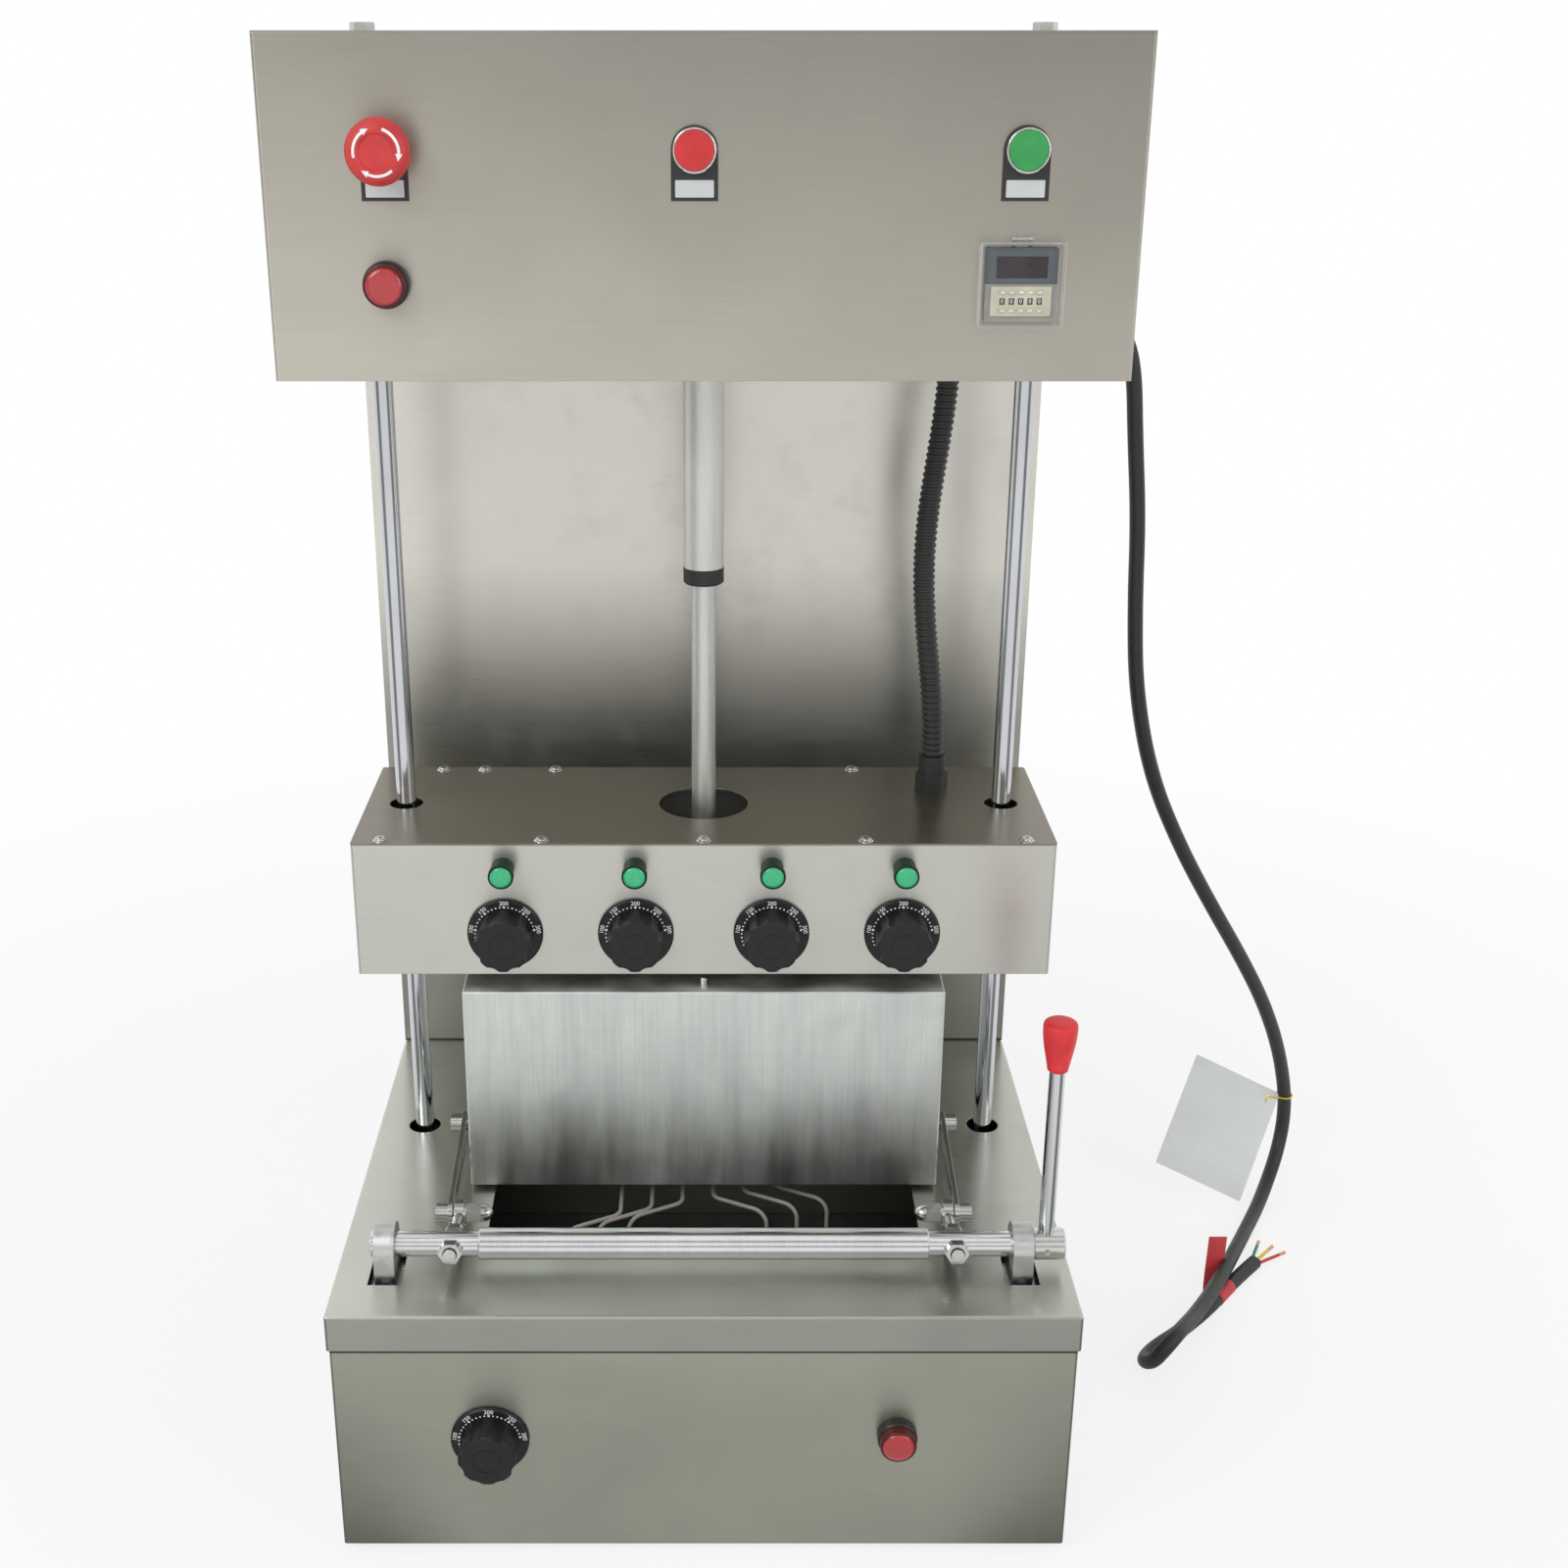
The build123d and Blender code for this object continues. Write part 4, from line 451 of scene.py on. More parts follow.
# Where the devices stand, in the frame of the CAD model
carriage_front = -0.0310
head_front = -0.1300
shell_front = -0.2261
knob_z = 0.458
dial_x_places = (-0.161, -0.055, 0.055, 0.161)
base_knob = (-0.167, shell_front, 0.113)
button_z = 1.067
estop_x = -0.210
button_x_places = (estop_x, -0.006, 0.212)
timer_place = (0.212, head_front, 0.9815)
timer_split = 0.0006
timer_ears = 0.0250


def dress(material, *names):
    """Puts a material on CAD nodes, and gives it back for the scene's own pieces."""
    for name in names:
        for slot in nodes[name].material_slots:
            slot.material = material
    return material


# The six brushed steel finishes are one stainless steel in greys set part by part for the light and
# reflections each part shows: painted light and shade
dress(brushed(
    # Painted light and shade: lighter low down and at the left, darker at the top and at the right
    "steel_head", (0.50, 0.475, 0.415), rise=(0.93, 1.13, 1.07, 0.72),
    run=(-0.25, 0.25, 1.07, 0.92),
), "head_shell")
dress(brushed(
    # Painted shade: darker on the lower part of the panel
    "steel_panel", (0.74, 0.725, 0.66), roughness=0.26, rise=(0.56, 0.70, 0.50, 1.0), waves=0.00004,
    # Painted shadow: a dark line just above the cover
    painted_shadow_line=(cover_high, cover_high + painted_shadow_above),
), "back_panel", "rear_cover", "head_floor")
dress(brushed(
    # Painted shade on the upright lip, and painted light that is lighter at the left than at the
    # right
    "steel_cover", (0.52, 0.53, 0.475), roughness=0.24, rise=(0.2250, 0.2265, 0.74, 1.06),
    run=(-0.29, 0.29, 1.06, 0.97),
), "base_cover")
dress(brushed(
    # Painted shadow: a dark line just under the cover's lip
    "steel_shell", (0.42, 0.43, 0.36), painted_shadow_line=(cover_low - painted_shadow_below, cover_low),
), "base_shell")
dress(brushed("steel_carriage", (0.62, 0.62, 0.57)), "carriage_shell")
dress(brushed("steel_lid", (0.275, 0.255, 0.215), roughness=0.26), "carriage_lid")
dress(round_metal("bright_steel", (0.74, 0.75, 0.76), 0.10, 0.08, (1500, 90, 90)), "crank_shaft")
dress(round_metal("tube_steel", (0.74, 0.74, 0.71), 0.46, 0.08, (900, 900, 60)), "actuator_tube")
dress(round_metal("rod_satin", (0.68, 0.69, 0.67), 0.44, 0.08, (700, 700, 70)), "actuator_rod")
dress(
    round_metal("rod_chrome", (0.62, 0.635, 0.66), 0.07, 0.06, (60, 60, 1600), mark=0.03),
    "guide_rods", "lever_rod", "mould_guide_pins",
)
dress(round_metal("ring_chrome", (0.80, 0.80, 0.79), 0.08, 0.05, 900, mark=0.02), "panel_bezels")
zinc = dress(
    round_metal("zinc", (0.56, 0.56, 0.545), 0.12, 0.10, 260), "frame_fasteners",
    "carriage_fasteners", "eye_bolts", "mould_studs", "cable_glands", "link_left", "link_right",
)
dress(
    round_metal("turned_steel", (0.66, 0.66, 0.64), 0.15, 0.12, (1700, 110, 110)),
    "lever_hub", "carriage_bearings",
)
dress(cast_metal("bracket_zinc", (0.62, 0.63, 0.62), 0.26), "crank_brackets")
dress(
    cast_metal("galvanised", (0.50, 0.51, 0.52), 0.38),
    "base_floor", "inner_frame", "head_beam", "carriage_beam", "power_supply",
)
dress(cast_metal("cast_grey", (0.46, 0.47, 0.48), 0.45), "actuator_housing")
dress(mould_metal(), "mould_front", "mould_rear", "cone_punches")
dress(plastic("black_rubber", (0.018, 0.018, 0.018), 0.66, grain=0.00003, dust=0.08), "rubber_feet")
cord_skin = plastic(
    "cord_skin", (0.019, 0.0245, 0.0225), 0.36, grain=0.00002, dust=0.02, gloss=0.45
)
knob_skin = dress(
    plastic("knob_skin", (0.011, 0.0135, 0.0135), 0.34, dust=0.015, gloss=0.35),
    "base_knob", "dial_knob_1", "dial_knob_2", "dial_knob_3", "dial_knob_4",
)
knob_red = dress(
    plastic("knob_red", (0.74, 0.035, 0.040), 0.36, dust=0.0, gloss=0.4), "lever_knob"
)
dress(plastic("estop_red", (0.58, 0.045, 0.045), 0.36, dust=0.02, gloss=0.4), "estop_button")
dress(plastic("button_red", (0.62, 0.040, 0.040), 0.34, dust=0.02, gloss=0.4), "rise_button")
dress(plastic("button_green", (0.035, 0.33, 0.085), 0.34, dust=0.02), "down_button")
dress(plastic("holder_skin", (0.016, 0.016, 0.016), 0.36, dust=0.03), "pilot_holders")
dress(plastic("legend_skin", (0.024, 0.024, 0.024), 0.45), "legend_plates")
# Black for the wiper ring and the timer's digit wheels, and for the painted shadows on the screws
# and shaft nuts
seal_black_and_shadow = dress(plastic("seal_black_and_shadow", (0.018, 0.018, 0.018), 0.5), "wiper_ring")
conduit_skin = dress(
    plastic("conduit_skin", (0.022, 0.025, 0.023), 0.42, grain=0.00002, dust=0.08), "conduit_gland"
)
dress(plastic("stem_skin", (0.25, 0.25, 0.26), 0.4), "estop_stem")
dress(plastic("bakelite", (0.16, 0.10, 0.06), 0.45), "base_thermostat", "carriage_thermostats")
dress(sleeve_weave(), "heater_leads")
dress(core_sheaths(), "cord_cores")
timer_skin = dress(timer_face(), "timer_body")
dress(clear_cover(), "timer_cover")
dress(plastic("switch_skin", (0.56, 0.54, 0.43), 0.42, dust=0.02), "timer_switches")
key_skin = plastic("key_skin", (0.70, 0.68, 0.57), 0.4, dust=0.0)
window_dark = plastic("window_dark", (0.018, 0.010, 0.014), 0.25, grain=0.0, dust=0.0, gloss=0.3)
print_white = paper("print_white", (0.88, 0.89, 0.88))
insert_white = paper("insert_white", (0.60, 0.62, 0.63))
tag_card = paper("tag_card", (0.76, 0.79, 0.775))
tie_yellow = plastic("tie_yellow", (0.82, 0.66, 0.03), 0.35, dust=0.02)
tape_red = plastic("tape_red", (0.62, 0.045, 0.055), 0.42, dust=0.03)
lens_red = lens("lens_red", (0.40, 0.018, 0.022), (1.0, 0.05, 0.03))
lens_green = lens("lens_green", (0.012, 0.42, 0.17), (0.05, 1.0, 0.4))
dress(plastic("lens_red_rim", (0.085, 0.004, 0.006), 0.3, dust=0.0, gloss=0.4), "pilot_lenses")
# The green lamps' bodies and rims: a dark green of their own, darker than the lens, and painted
# shade on their sides
green_rim_and_shade = dress(
    plastic("green_rim_and_shade", (0.003, 0.020, 0.012), 0.4, dust=0.0, gloss=0.25), "green_lamps"
)

# Pieces


def piece(name, mesh, body, material, smooth=False):
    thing = placed(name, mesh)
    mesh.materials.clear()
    mesh.materials.append(material)
    for polygon in mesh.polygons:
        polygon.use_smooth = smooth
    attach(thing, body)
    return thing


def solid(name, bm, body, material, place=None, smooth=False):
    """A piece from a bmesh, with its faces outward, at a place given as a matrix."""
    bmesh.ops.recalc_face_normals(bm, faces=bm.faces)
    if place is not None:
        bm.transform(place)
    mesh = bpy.data.meshes.new(name)
    bm.to_mesh(mesh)
    bm.free()
    return piece(name, mesh, body, material, smooth)


def feed_hose():
    """The ribbed hose in its CAD shape, which rides on the carriage."""
    mesh = nodes["conduit"].data.copy()
    hose = piece("feed_hose", mesh, "carriage", conduit_skin)
    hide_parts("conduit")
    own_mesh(hose)


feed_hose()


def on_panel(x, face, z):
    """Local +Z points out of a front panel, local +Y points up."""
    return Matrix.Translation((x, face, z)) @ Matrix.Rotation(radians(90), 4, "X")


def band(bm, rows):
    """Faces from each row of vertices to the next, all round."""
    for first, second in zip(rows, rows[1:]):
        for index in range(len(first)):
            after = (index + 1) % len(first)
            bm.faces.new((first[index], first[after], second[after], second[index]))


def prism(bm, outline, low, high):
    """An upright prism over a flat outline."""
    floor, roof = [[bm.verts.new((x, y, level)) for x, y in outline] for level in (low, high)]
    bm.faces.new(floor[::-1])
    bm.faces.new(roof)
    band(bm, [floor, roof])


def rounded(width, height, radius, steps=5, centre=(0, 0)):
    """A rectangle's outline with round corners."""
    points = []
    for corner in range(4):
        corner_x = (width / 2 - radius) * (1 if corner in (0, 3) else -1)
        corner_y = (height / 2 - radius) * (1 if corner < 2 else -1)
        for step in range(steps + 1):
            angle = (corner + step / steps) * pi / 2
            x, y = corner_x + radius * cos(angle), corner_y + radius * sin(angle)
            points.append((x + centre[0], y + centre[1]))
    return points


def ring_points(radius, count, centre=(0, 0)):
    return [
        (centre[0] + radius * cos(2 * pi * i / count), centre[1] + radius * sin(2 * pi * i / count))
        for i in range(count)
    ]


def frame_plate(bm, outer, inner, low, high):
    """A plate with a hole, from two outlines of as many points."""
    rows = [
        [bm.verts.new((*point, height)) for point in outline]
        for outline, height in ((outer, low), (outer, high), (inner, high), (inner, low))
    ]
    band(bm, rows + rows[:1])


def lathe(bm, profile, count=48):
    """A closed solid of revolution about local Z; the profile starts and ends on the axis."""
    rings = []
    for radius, height in profile:
        if radius == 0:
            rings.append([bm.verts.new((0, 0, height))])
        else:
            rings.append([bm.verts.new((x, y, height)) for x, y in ring_points(radius, count)])
    for first, second in zip(rings, rings[1:]):
        for index in range(count):
            after = (index + 1) % count
            corners = [first[index % len(first)], first[after % len(first)]]
            corners += [second[after % len(second)], second[index % len(second)]]
            bm.faces.new(list(dict.fromkeys(corners)))


def copies(places, shape, *values):
    """One bmesh with the same small shape at several places, each a matrix."""
    bm = bmesh.new()
    for place in places:
        part = bmesh.new()
        shape(part, *values)
        part.transform(place)
        mesh = bpy.data.meshes.new("part")
        part.to_mesh(mesh)
        part.free()
        bm.from_mesh(mesh)
        bpy.data.meshes.remove(mesh)
    return bm


def as_mesh(data):
    """The mesh of a curve or of figures, which are then removed."""
    holder = bpy.data.objects.new("holder", data)
    mesh = bpy.data.meshes.new_from_object(holder)
    bpy.data.objects.remove(holder)
    bpy.data.curves.remove(data)
    return mesh


figure_depth = 0.00004


def lettering(bm, words, size, x, y, low, turn=0.0, weight=0.0):
    """Flat figures, as thin solids centred on a place."""
    data = bpy.data.curves.new("figures", "FONT")
    data.body = words
    data.size = size
    data.align_x = data.align_y = "CENTER"
    data.extrude = figure_depth
    data.offset = weight
    data.resolution_u = 3
    mesh = as_mesh(data)
    mesh.transform(Matrix.Translation((x, y, low)) @ Matrix.Rotation(turn, 4, "Z"))
    bm.from_mesh(mesh)
    bpy.data.meshes.remove(mesh)


# Dials: figures outside a ring of dots
dial_face = 0.0038
dial_dot_ring = 0.0242
dial_figure_ring = 0.0274
dial_figure_size = 0.0050
dial_figure_weight = 0.00002
dial_small_dot = 0.00070
dial_large_dot = 0.00105
dial_print = 0.00006
dial_step = radians(8)
dial_figures = (100, 150, 200, 250, 300)
dial_first, dial_last, dial_top, dial_every = 60, 310, 200, 10
dial_dot_sides = 10
grip_top = 0.028
grip_ring_radius = 0.0105
grip_ring_width = 0.0009
grip_ring_height = 0.00035


def dial_marks(number, x, face, z, body):
    bm = bmesh.new()
    for value in range(dial_first, dial_last, dial_every):
        angle = (value - dial_top) / dial_every * dial_step
        radius = dial_large_dot if value in dial_figures else dial_small_dot
        centre = (dial_dot_ring * sin(angle), dial_dot_ring * cos(angle))
        dot = ring_points(radius, dial_dot_sides, centre)
        prism(bm, dot, dial_face - dial_print, dial_face + dial_print)
    for value in dial_figures:
        angle = (value - dial_top) / dial_every * dial_step
        place = (dial_figure_ring * sin(angle), dial_figure_ring * cos(angle))
        lettering(
            bm, str(value), dial_figure_size, *place, dial_face + dial_print / 2,
            turn=-angle, weight=dial_figure_weight,
        )
    solid(f"dial_marks_{number}", bm, body, print_white, on_panel(x, face, z))


def grip_ring(number, x, face, z, body):
    """The low raised ring on a knob's bare top."""
    bm = bmesh.new()
    half = grip_ring_width / 2
    outer = ring_points(grip_ring_radius + half, 48)
    inner = ring_points(grip_ring_radius - half, 48)
    frame_plate(bm, outer, inner, grip_top - grip_ring_height, grip_top + grip_ring_height)
    solid(f"grip_ring_{number}", bm, body, knob_skin, on_panel(x, face, z))


dials = [
    (number, x, carriage_front, knob_z, f"dial_{number}")
    for number, x in enumerate(dial_x_places, start=1)
]
dials.append(("base", *base_knob, "base_dial"))
for dial in dials:
    dial_marks(*dial)
    grip_ring(*dial)

# Lever knob: a turned handle, wide and slightly domed at its top, in shares of radius and length
knob_shape = (
    (0.00, 0.00), (0.56, 0.00), (0.60, 0.012), (0.66, 0.12), (0.73, 0.24), (0.82, 0.38),
    (0.90, 0.52), (0.96, 0.66), (0.99, 0.78), (1.00, 0.87), (0.985, 0.93), (0.94, 0.965),
    (0.86, 0.985), (0.60, 0.996), (0.30, 1.0), (0.00, 1.0),
)
knob_top_cut, knob_foot_cut = 0.0036, 0.0042
knob_slimmer = 0.96
rod_end_reach = 0.012


def lever_knob():
    """The handle, on the line between the middles of the rod's two ends."""
    rod = [v.co for v in nodes["lever_rod"].data.vertices]
    ends = []
    for level in (min(v.z for v in rod), max(v.z for v in rod)):
        near = [v for v in rod if abs(v.z - level) < rod_end_reach]
        ends.append(sum(near, Vector()) / len(near))
    axis = (ends[1] - ends[0]).normalized()
    shape = [v.co for v in nodes["lever_knob"].data.vertices]
    reaches = [(v - ends[0]).dot(axis) for v in shape]
    radius = max((v - ends[0] - axis * reach).length for v, reach in zip(shape, reaches))
    foot, top = min(reaches) + knob_foot_cut, max(reaches) - knob_top_cut
    bm = bmesh.new()
    lathe(bm, [(r * radius * knob_slimmer, foot + t * (top - foot)) for r, t in knob_shape])
    place = Matrix.Translation(ends[0]) @ axis.to_track_quat("Z", "Y").to_matrix().to_4x4()
    knob = solid("lever_handle", bm, "lever", knob_red, place, smooth=True)
    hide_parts("lever_knob")


lever_knob()

# Legend plates: blank inserts in their windows; an outline is width, height and corner radius
insert_outline = (0.0256, 0.0110, 0.0006)
insert_levels = (0.0011, 0.0014)
insert_drop = 0.0243
insert_places = [on_panel(x, head_front, button_z - insert_drop) for x in button_x_places]
inserts = copies(insert_places, prism, rounded(*insert_outline), *insert_levels)
solid("legend_inserts", inserts, "frame", insert_white)

# Mushroom button: three arc arrows, laid on its crown, with spans in degrees
arrow_radius = 0.0148
arrow_half_width = 0.0009
arrow_head_half_width = 0.0022
arrow_tip_half_width = 0.00002
arrow_spans = ((18, 112), (139, 222), (257, 343))
arrow_head_span = 18
arrow_steps, arrow_head_steps = 8, 4
arrow_lift = 0.00012
arrow_sink = 0.0002
ray_start = 0.1


def crown_height(tree, x, y):
    """Y of the button's front surface behind a point of its panel."""
    origin = Vector((estop_x + x, head_front - ray_start, button_z + y))
    hit = tree.ray_cast(origin, Vector((0, 1, 0)))
    return hit[0].y


def estop_arrows():
    crown = nodes["estop_button"].data
    corners = [v.co for v in crown.vertices]
    tree = BVHTree.FromPolygons(corners, [p.vertices for p in crown.polygons])
    bm = bmesh.new()
    for start, end in arrow_spans:
        shaft_end = end - arrow_head_span
        stations = [
            (start + (shaft_end - start) * i / arrow_steps, arrow_half_width)
            for i in range(arrow_steps + 1)
        ]
        for i in range(arrow_head_steps + 1):
            half = arrow_head_half_width * (1 - i / arrow_head_steps) + arrow_tip_half_width
            stations.append((shaft_end + arrow_head_span * i / arrow_head_steps, half))
        rows = []
        for angle, half in stations:
            turn = radians(angle)
            top, foot = [], []
            for share in (-1, 0, 1):
                radius = arrow_radius + share * half
                x, y = radius * sin(turn), radius * cos(turn)
                surface = crown_height(tree, x, y)
                top.append(bm.verts.new((estop_x + x, surface - arrow_lift, button_z + y)))
                foot.append(bm.verts.new((estop_x + x, surface + arrow_sink, button_z + y)))
            rows.append(top + foot[::-1])
        band(bm, rows)
        for row in (rows[0], rows[-1]):
            for k in range(2):
                bm.faces.new((row[k], row[k + 1], row[4 - k], row[5 - k]))
    solid("estop_arrows", bm, "estop_mushroom", print_white)


estop_arrows()

# Timer: two rows of key caps with the digits between them, and the display's window and frame
timer_bezel = 0.006
window_outline = (0.0338, 0.0138, 0.0004)
window_rise = 0.0115
window_sink, window_thickness = 0.0006, 0.0004
display_outer, display_inner = (0.0452, 0.0216, 0.0008), (0.0341, 0.0141, 0.0004)
display_rise = 0.0119
display_thickness = 0.0003
digit_pitch = 0.0062
digit_x_places = [place * digit_pitch for place in (-2, -1, 0, 1, 2)]
digit_outline = (0.0035, 0.0041, 0.0003)
digit_sink, digit_thickness = 0.0008, 0.0002
digit_figure_size = 0.0038
digit_figure_level = 0.00025
switch_drop = 0.0105
switch_top = 0.0076
key_rows = (-0.0060, 0.0060)
key_outline = (0.0033, 0.0021, 0.0004)
key_levels = (switch_top + 0.0003, switch_top + 0.0011)


def timer_details():
    place = on_panel(*timer_place)
    keys = bmesh.new()
    for x in digit_x_places:
        for row in key_rows:
            cap = rounded(*key_outline, steps=3, centre=(x, row - switch_drop))
            prism(keys, cap, *key_levels)
    solid("timer_keys", keys, "frame", key_skin, place)
    window = bmesh.new()
    floor = timer_bezel - window_sink
    outline = rounded(*window_outline, centre=(0, window_rise))
    prism(window, outline, floor, floor + window_thickness)
    solid("timer_window", window, "frame", window_dark, place)
    rim = bmesh.new()
    outer = rounded(*display_outer, centre=(0, display_rise))
    inner = rounded(*display_inner, centre=(0, window_rise))
    frame_plate(rim, outer, inner, timer_bezel, timer_bezel + display_thickness)
    solid("timer_display_frame", rim, "frame", timer_skin, place)
    wheels, figures = bmesh.new(), bmesh.new()
    low = switch_top - digit_sink
    for x in digit_x_places:
        outline = rounded(*digit_outline, centre=(x, -switch_drop))
        prism(wheels, outline, low, low + digit_thickness)
        lettering(figures, "0", digit_figure_size, x, -switch_drop, low + digit_figure_level)
    solid("timer_digit_wheels", wheels, "frame", seal_black_and_shadow, place)
    solid("timer_digits", figures, "frame", print_white, place)


timer_details()

# Screws: painted shadow in the cross recesses on the pan heads, and the flanges under the lid's
cross_length = 0.0046
cross_width = 0.0009
cross_rise = 0.00004
cross_turn = 0.6
pan_top = 0.0028
flange_profile = ((0, 0.0), (0.0064, 0.0), (0.0063, 0.0006), (0.0050, 0.0013), (0, 0.0013))
turned_sides = 40
lid_top = 0.536
lid_screws = [(x, -0.024) for x in (-0.259, -0.13, 0.0, 0.13, 0.259)]
lid_screws += [(x, 0.141) for x in (-0.228, -0.192, -0.13, 0.13)]
rear_face = 0.252
rear_screw_x = 0.282
rear_screw_low, rear_screw_high = 0.267, 1.100
rear_screw_z = [rear_screw_low + (rear_screw_high - rear_screw_low) * row / 4 for row in range(5)]


def crosses(name, body, places):
    """A dark cross on each screw, a painted shadow for its recess; a place is a matrix whose +Z
    leaves the sheet.
    """
    a, b = cross_length / 2, cross_width / 2
    corners = [(a, -b), (a, b), (b, b), (b, a), (-b, a), (-b, b)]
    outline = corners + [(-x, -y) for x, y in corners]
    turned = [place @ Matrix.Rotation(cross_turn * i, 4, "Z") for i, place in enumerate(places)]
    bm = copies(turned, prism, outline, pan_top - cross_rise, pan_top + cross_rise)
    solid(name, bm, body, seal_black_and_shadow)


lid_places = [Matrix.Translation((x, y, lid_top)) for x, y in lid_screws]
flanges = copies(lid_places, lathe, flange_profile, turned_sides)
solid("lid_screw_flanges", flanges, "carriage", zinc, smooth=True)
crosses("lid_screw_recess_shadows", "carriage", lid_places)
crosses("rear_screw_recess_shadows", "frame", [
    Matrix.Translation((x, rear_face, z)) @ Matrix.Rotation(radians(-90), 4, "X")
    for x in (-rear_screw_x, rear_screw_x) for z in rear_screw_z
])

# Lamps: the lit part of each lens and the green lamps' rims, whose dark green is partly painted
# shade, as radii and heights above the front
green_front, red_front = 0.020, 0.017
green_dome = (
    (0, -0.0004), (0.0086, -0.0004), (0.0086, 0.0003),
    (0.0066, 0.0007), (0.0033, 0.0010), (0, 0.0011),
)
green_rim = (
    (0, -0.0065), (0.0099, -0.0065), (0.0102, -0.0062),
    (0.0102, -0.0003), (0.0098, 0.0001), (0, 0.0001),
)
red_dome = (
    (0, -0.0004), (0.0121, -0.0004), (0.0121, 0.0002),
    (0.0095, 0.0006), (0.0050, 0.0009), (0, 0.0010),
)
green_lamp_z = 0.515
green_places = [on_panel(x, carriage_front, green_lamp_z) for x in dial_x_places]
red_places = [on_panel(-0.212, head_front, 0.9815), on_panel(0.151, shell_front, 0.1175)]
green_lamps = (green_places, green_front, "carriage", "lens_green")
red_lamps = (red_places, red_front, "frame", "lens_red")


def on_lamps(name, lamps, profile, material, smooth=True):
    places, front, body, slot = lamps
    raised = [(radius, front + height) for radius, height in profile]
    solid(name, copies(places, lathe, raised, turned_sides), body, material, smooth=smooth)


on_lamps("green_lenses", green_lamps, green_dome, lens_green)
on_lamps("green_rims", green_lamps, green_rim, green_rim_and_shade, smooth=False)
on_lamps("red_lenses", red_lamps, red_dome, lens_red)

# Shaft nuts: a painted shadow, the dark ring in the gap between each nut and its bolt
nut_ring_radii = (0.0057, 0.0049)
nut_ring_sides = 32
nut_face_reach = 0.0181
nut_ring_sink, nut_ring_rise = 0.0004, 0.00012
eye_gap = 0.0015
eye_lean = 6
shaft_middle = sum(map(Vector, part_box("crank_shaft")), Vector()) / 2
eye_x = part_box("mould_front")[1][0] + eye_gap
nut_turn = Matrix.Rotation(radians(90 - eye_lean), 4, "X")
nut_places = [Matrix.Translation((x, *shaft_middle.yz)) @ nut_turn for x in (-eye_x, eye_x)]
nut_circles = [ring_points(radius, nut_ring_sides) for radius in nut_ring_radii]
nut_levels = (nut_face_reach - nut_ring_sink, nut_face_reach + nut_ring_rise)
nut_shadow_rings = copies(nut_places, frame_plate, *nut_circles, *nut_levels)
solid("nut_shadow_rings", nut_shadow_rings, "lever", seal_black_and_shadow)

# Power cord

cord_radius = 0.007
cord_route = [
    (0.3153, 0.2270, 0.9383), (0.3396, 0.2270, 0.9243), (0.3576, 0.2275, 0.9029),
    (0.3696, 0.2285, 0.8732), (0.3758, 0.2300, 0.8100), (0.3842, 0.2320, 0.7400),
    (0.3884, 0.2350, 0.6570), (0.3966, 0.2400, 0.5770), (0.4188, 0.2490, 0.4920),
    (0.4550, 0.2620, 0.4155), (0.4975, 0.2780, 0.3427), (0.5358, 0.2960, 0.2812),
    (0.5687, 0.3130, 0.2225), (0.5945, 0.3300, 0.1631), (0.6113, 0.3430, 0.1040),
    (0.6133, 0.3410, 0.0685), (0.6055, 0.3270, 0.0375), (0.5900, 0.3020, 0.0150),
    (0.5725, 0.2695, 0.0070), (0.5530, 0.2330, 0.0070), (0.5237, 0.1728, 0.0170),
    (0.4901, 0.1079, 0.0230), (0.4574, 0.0543, 0.0281), (0.4308, 0.0084, 0.0428),
    (0.4217, -0.0012, 0.0390), (0.4130, -0.0055, 0.0308), (0.4072, -0.0035, 0.0203),
    (0.4024, 0.0046, 0.0126), (0.4039, 0.0173, 0.0070), (0.4158, 0.0328, 0.0070),
    (0.4427, 0.0553, 0.0070), (0.4796, 0.0928, 0.0070), (0.5120, 0.1350, 0.0070),
    (0.5445, 0.1707, 0.0070),
]


def make_cord():
    """The cord, and the points that its line runs through."""
    curve = bpy.data.curves.new("cord", "CURVE")
    curve.dimensions = "3D"
    curve.resolution_u = 12
    spline = curve.splines.new("NURBS")
    spline.points.add(len(cord_route) - 1)
    for point, place in zip(spline.points, cord_route):
        point.co = (*place, 1)
    spline.order_u = 3
    spline.use_endpoint_u = True
    cord = placed("power_lead", curve)
    thread = bpy.data.meshes.new_from_object(cord)
    line = [vertex.co.copy() for vertex in thread.vertices]
    bpy.data.meshes.remove(thread)
    curve.bevel_depth = cord_radius
    curve.bevel_resolution = 6
    curve.use_fill_caps = True
    curve.materials.append(cord_skin)
    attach(cord, "frame")
    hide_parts("power_cord")
    return cord, line


cord, cord_line = make_cord()

boot_ball = 0.011
boot_ball_steps = 8
boot_tip = 0.0086
boot_length = 0.020
boot_place = (0.298, 0.227, 0.9483)
boot_tilt = radians(120)
boot_rib_count = 4
boot_rib_depth = 0.0009
# Along one rib: share of its pitch, and 1 in the groove; the last groove runs out at the tip
boot_rib = ((0.15, 0), (0.62, 0), (0.70, 1), (0.92, 1), (1.0, 0))
boot_last_rib = ((0.15, 0), (0.62, 0), (0.70, 1), (1.0, 0))


